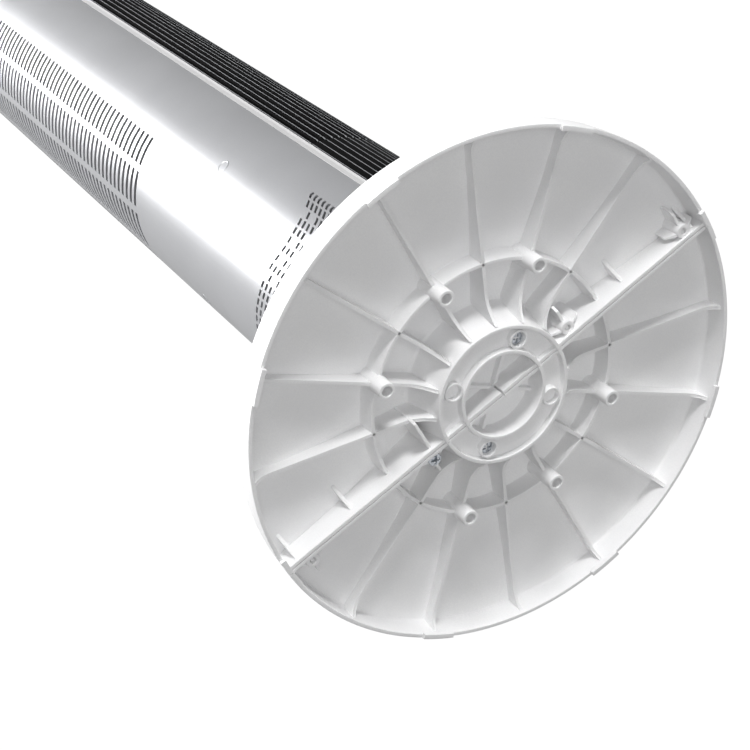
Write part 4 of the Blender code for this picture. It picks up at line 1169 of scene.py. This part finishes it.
@dataclass
class Softened:
    """Solids whose shape is right: a welded copy with its edges eased and its curves smooth."""

    edge: float = 0.35 * MM
    angle: float = 30.0

    def build(self, workshop: Workshop, node: str, finish: Finish, slot: str, body: str) -> None:
        """Copies a solid, welds it, eases its edges and stands in for it.

        Args:
            workshop: where the piece is dressed.
            node: the solid's name.
            finish: its finish.
            slot: its material slot.
            body: the body that carries it.
        """
        source = frame["nodes"][node]
        piece = bpy.data.objects.new(node + "_moulding", source.data.copy())
        bpy.context.scene.collection.objects.link(piece)
        piece.data.materials.clear()
        work = bmesh.new()
        work.from_mesh(piece.data)
        bmesh.ops.remove_doubles(work, verts=work.verts, dist=0.005 * MM)
        bmesh.ops.dissolve_limit(work, angle_limit=math.radians(0.5), verts=work.verts, edges=work.edges)
        work.to_mesh(piece.data)
        work.free()
        ease = piece.modifiers.new("ease", "BEVEL")
        ease.width = self.edge
        ease.segments = 2
        ease.limit_method = "ANGLE"
        ease.angle_limit = math.radians(self.angle)
        settle(piece, 34, 0.002 * MM)
        workshop.place(piece, finish, slot, body, node)


# ---------------------------------------------------------------- studio

@dataclass
class Studio:
    """The camera, the pale floor and the soft lights."""

    lens: float = 83.86
    place: tuple = (-0.59526, 0.1788, -0.70663)
    right: tuple = (0.442811, -0.765042, -0.467578)
    up: tuple = (-0.672319, -0.628342, 0.391374)
    back: tuple = (-0.593216, 0.141056, -0.792589)
    floor_size: float = 60.0

    def build_camera(self) -> None:
        """Puts up the camera from its three axes."""
        data = bpy.data.cameras.new("camera")
        data.lens = self.lens
        data.sensor_width = 36
        camera = bpy.data.objects.new("camera", data)
        camera.matrix_world = Matrix.Translation(self.place) @ Matrix(
            (self.right, self.up, self.back)).transposed().to_4x4()
        bpy.context.scene.collection.objects.link(camera)
        bpy.context.scene.camera = camera

    def build_floor(self) -> None:
        """A pale floor that is clear from below, since the object is also seen from underneath."""
        half = self.floor_size / 2
        corners = np.array([[[-half, -half, 0], [half, -half, 0]], [[-half, half, 0], [half, half, 0]]])
        corners[..., 2] = -0.2 * MM
        floor = Surface().grid(corners).make("floor")
        made = bpy.data.materials.new("pale paper sweep")
        made.use_nodes = True
        tree = made.node_tree
        tree.nodes.clear()
        place = add_node(tree, "ShaderNodeTexCoord").outputs["Object"]
        cloud = add_node(tree, "ShaderNodeTexNoise", {"Vector": place, "Scale": 3.0})
        tint = add_node(tree, "ShaderNodeValToRGB", {"Fac": cloud.outputs[0]})
        tint.color_ramp.elements[0].color = linear("#6A6A6A")
        tint.color_ramp.elements[1].color = linear("#707070")
        paper = add_node(tree, "ShaderNodeBsdfPrincipled", {
            "Base Color": tint.outputs[0], "Roughness": 0.95, "Specular IOR Level": 0.0,
            "Emission Color": linear("#FFFFFF"), "Emission Strength": 0.72})
        clear = add_node(tree, "ShaderNodeBsdfTransparent")
        side = add_node(tree, "ShaderNodeNewGeometry")
        both = add_node(tree, "ShaderNodeMixShader", {
            0: side.outputs["Backfacing"], 1: paper.outputs[0], 2: clear.outputs[0]})
        add_node(tree, "ShaderNodeOutputMaterial", {"Surface": both.outputs[0]})
        floor.data.materials.append(made)
        floor.visible_shadow = False
        floor.visible_diffuse = False
        floor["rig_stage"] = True

    def add_light(self, name: str, towards: tuple, distance: float, size: float, watts: float,
                  bodies: tuple = ()) -> None:
        """One square soft light aimed at the object's middle.

        Args:
            name: the light's name.
            towards: the direction from the object to the light.
            distance: how far off it stands.
            size: its side.
            watts: its power.
            bodies: the only bodies that it lights, or none for everything.
        """
        data = bpy.data.lights.new(name, "AREA")
        data.size = size
        data.energy = watts
        light = bpy.data.objects.new(name, data)
        way = Vector(towards).normalized()
        aim = Vector((0, 0, 0.15))
        facing = way.to_track_quat("Z", "Y").to_matrix().to_4x4()
        light.matrix_world = Matrix.Translation(aim + way * distance) @ facing
        light.visible_camera = False
        bpy.context.scene.collection.objects.link(light)
        if bodies:
            reached = bpy.data.collections.new(name + " reaches")
            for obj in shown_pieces():
                if obj.get("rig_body") in bodies:
                    reached.objects.link(obj)
            light.light_linking.receiver_collection = reached

    def build_world(self) -> None:
        """A white room: bright behind the object, softer as light on it."""
        world = bpy.data.worlds.new("white room")
        world.use_nodes = True
        tree = world.node_tree
        tree.nodes.clear()
        seen = add_node(tree, "ShaderNodeLightPath").outputs["Is Camera Ray"]
        way = add_node(tree, "ShaderNodeSeparateXYZ", {
            0: add_node(tree, "ShaderNodeTexCoord").outputs["Generated"]})
        lift = add_node(tree, "ShaderNodeMapRange", {
            "Value": way.outputs["Z"], "From Min": -0.1, "From Max": 0.6, "To Min": 0.21, "To Max": 0.4})
        soft = add_node(tree, "ShaderNodeBackground", {"Color": (1, 1, 1, 1), "Strength": lift.outputs[0]})
        white = add_node(tree, "ShaderNodeBackground", {"Color": (1, 1, 1, 1), "Strength": 1.05})
        both = add_node(tree, "ShaderNodeMixShader", {0: seen, 1: soft.outputs[0], 2: white.outputs[0]})
        add_node(tree, "ShaderNodeOutputWorld", {"Surface": both.outputs[0]})
        bpy.context.scene.world = world
        bpy.context.scene.view_settings.view_transform = "Standard"

    def build(self) -> None:
        """Puts up the camera, floor and room."""
        self.build_camera()
        self.build_floor()
        self.build_world()

    def build_lights(self) -> None:
        """Puts up the lights, once the pieces that they reach are there."""
        self.add_light("key", (-0.89, -0.38, -0.22), distance=2.2, size=0.6, watts=36, bodies=("base",))
        self.add_light("fill", (-0.35, 0.1, -0.92), distance=2.4, size=1.6, watts=14, bodies=("base",))
        self.add_light("rear", (-0.82, 0.57, 0.1), distance=2.2, size=0.6, watts=26, bodies=("base", "tower"))
        self.add_light("high", (-0.449, 0.412, 0.793), distance=2.6, size=1.3, watts=62)
        self.add_light("front", (0.75, -0.6, 0.3), distance=2.8, size=1.4, watts=26, bodies=("tower",))


SOFTENED = (
    "bottom_cover", "shell_screw_1", "shell_screw_2", "shell_screw_3", "shell_screw_4",
    "shell_screw_5", "shell_screw_6", "control_panel", "display_window", "receiver_lens",
    "button_power", "button_speed", "button_mode", "button_timer", "button_swing",
)


def node_slots() -> dict:
    """Each solid's material slot, from the record."""
    return {row["node"]: row["material_slot"] for row in frame["record"]["subparts"]}


def main() -> None:
    """Builds the studio and every sub-assembly, then dresses the solids that still show."""
    logging.basicConfig(level=logging.INFO, format="%(name)s: %(message)s")
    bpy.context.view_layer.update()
    workshop = Workshop()
    studio = Studio()
    studio.build()
    Base().build(workshop)
    RearCasing().build(workshop)
    ScrewPlugs().build(workshop)
    Front().build(workshop)
    TopCover().build(workshop)
    Impeller().build(workshop)
    slots = node_slots()
    softener = Softened()
    for node in SOFTENED:
        softener.build(workshop, node, BY_SLOT[slots[node]], slots[node], frame["nodes"][node]["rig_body"])
    for name, obj in frame["nodes"].items():
        workshop.dress(obj, BY_SLOT[slots[name]])
    studio.build_lights()


if __name__ == "__main__":
    main()
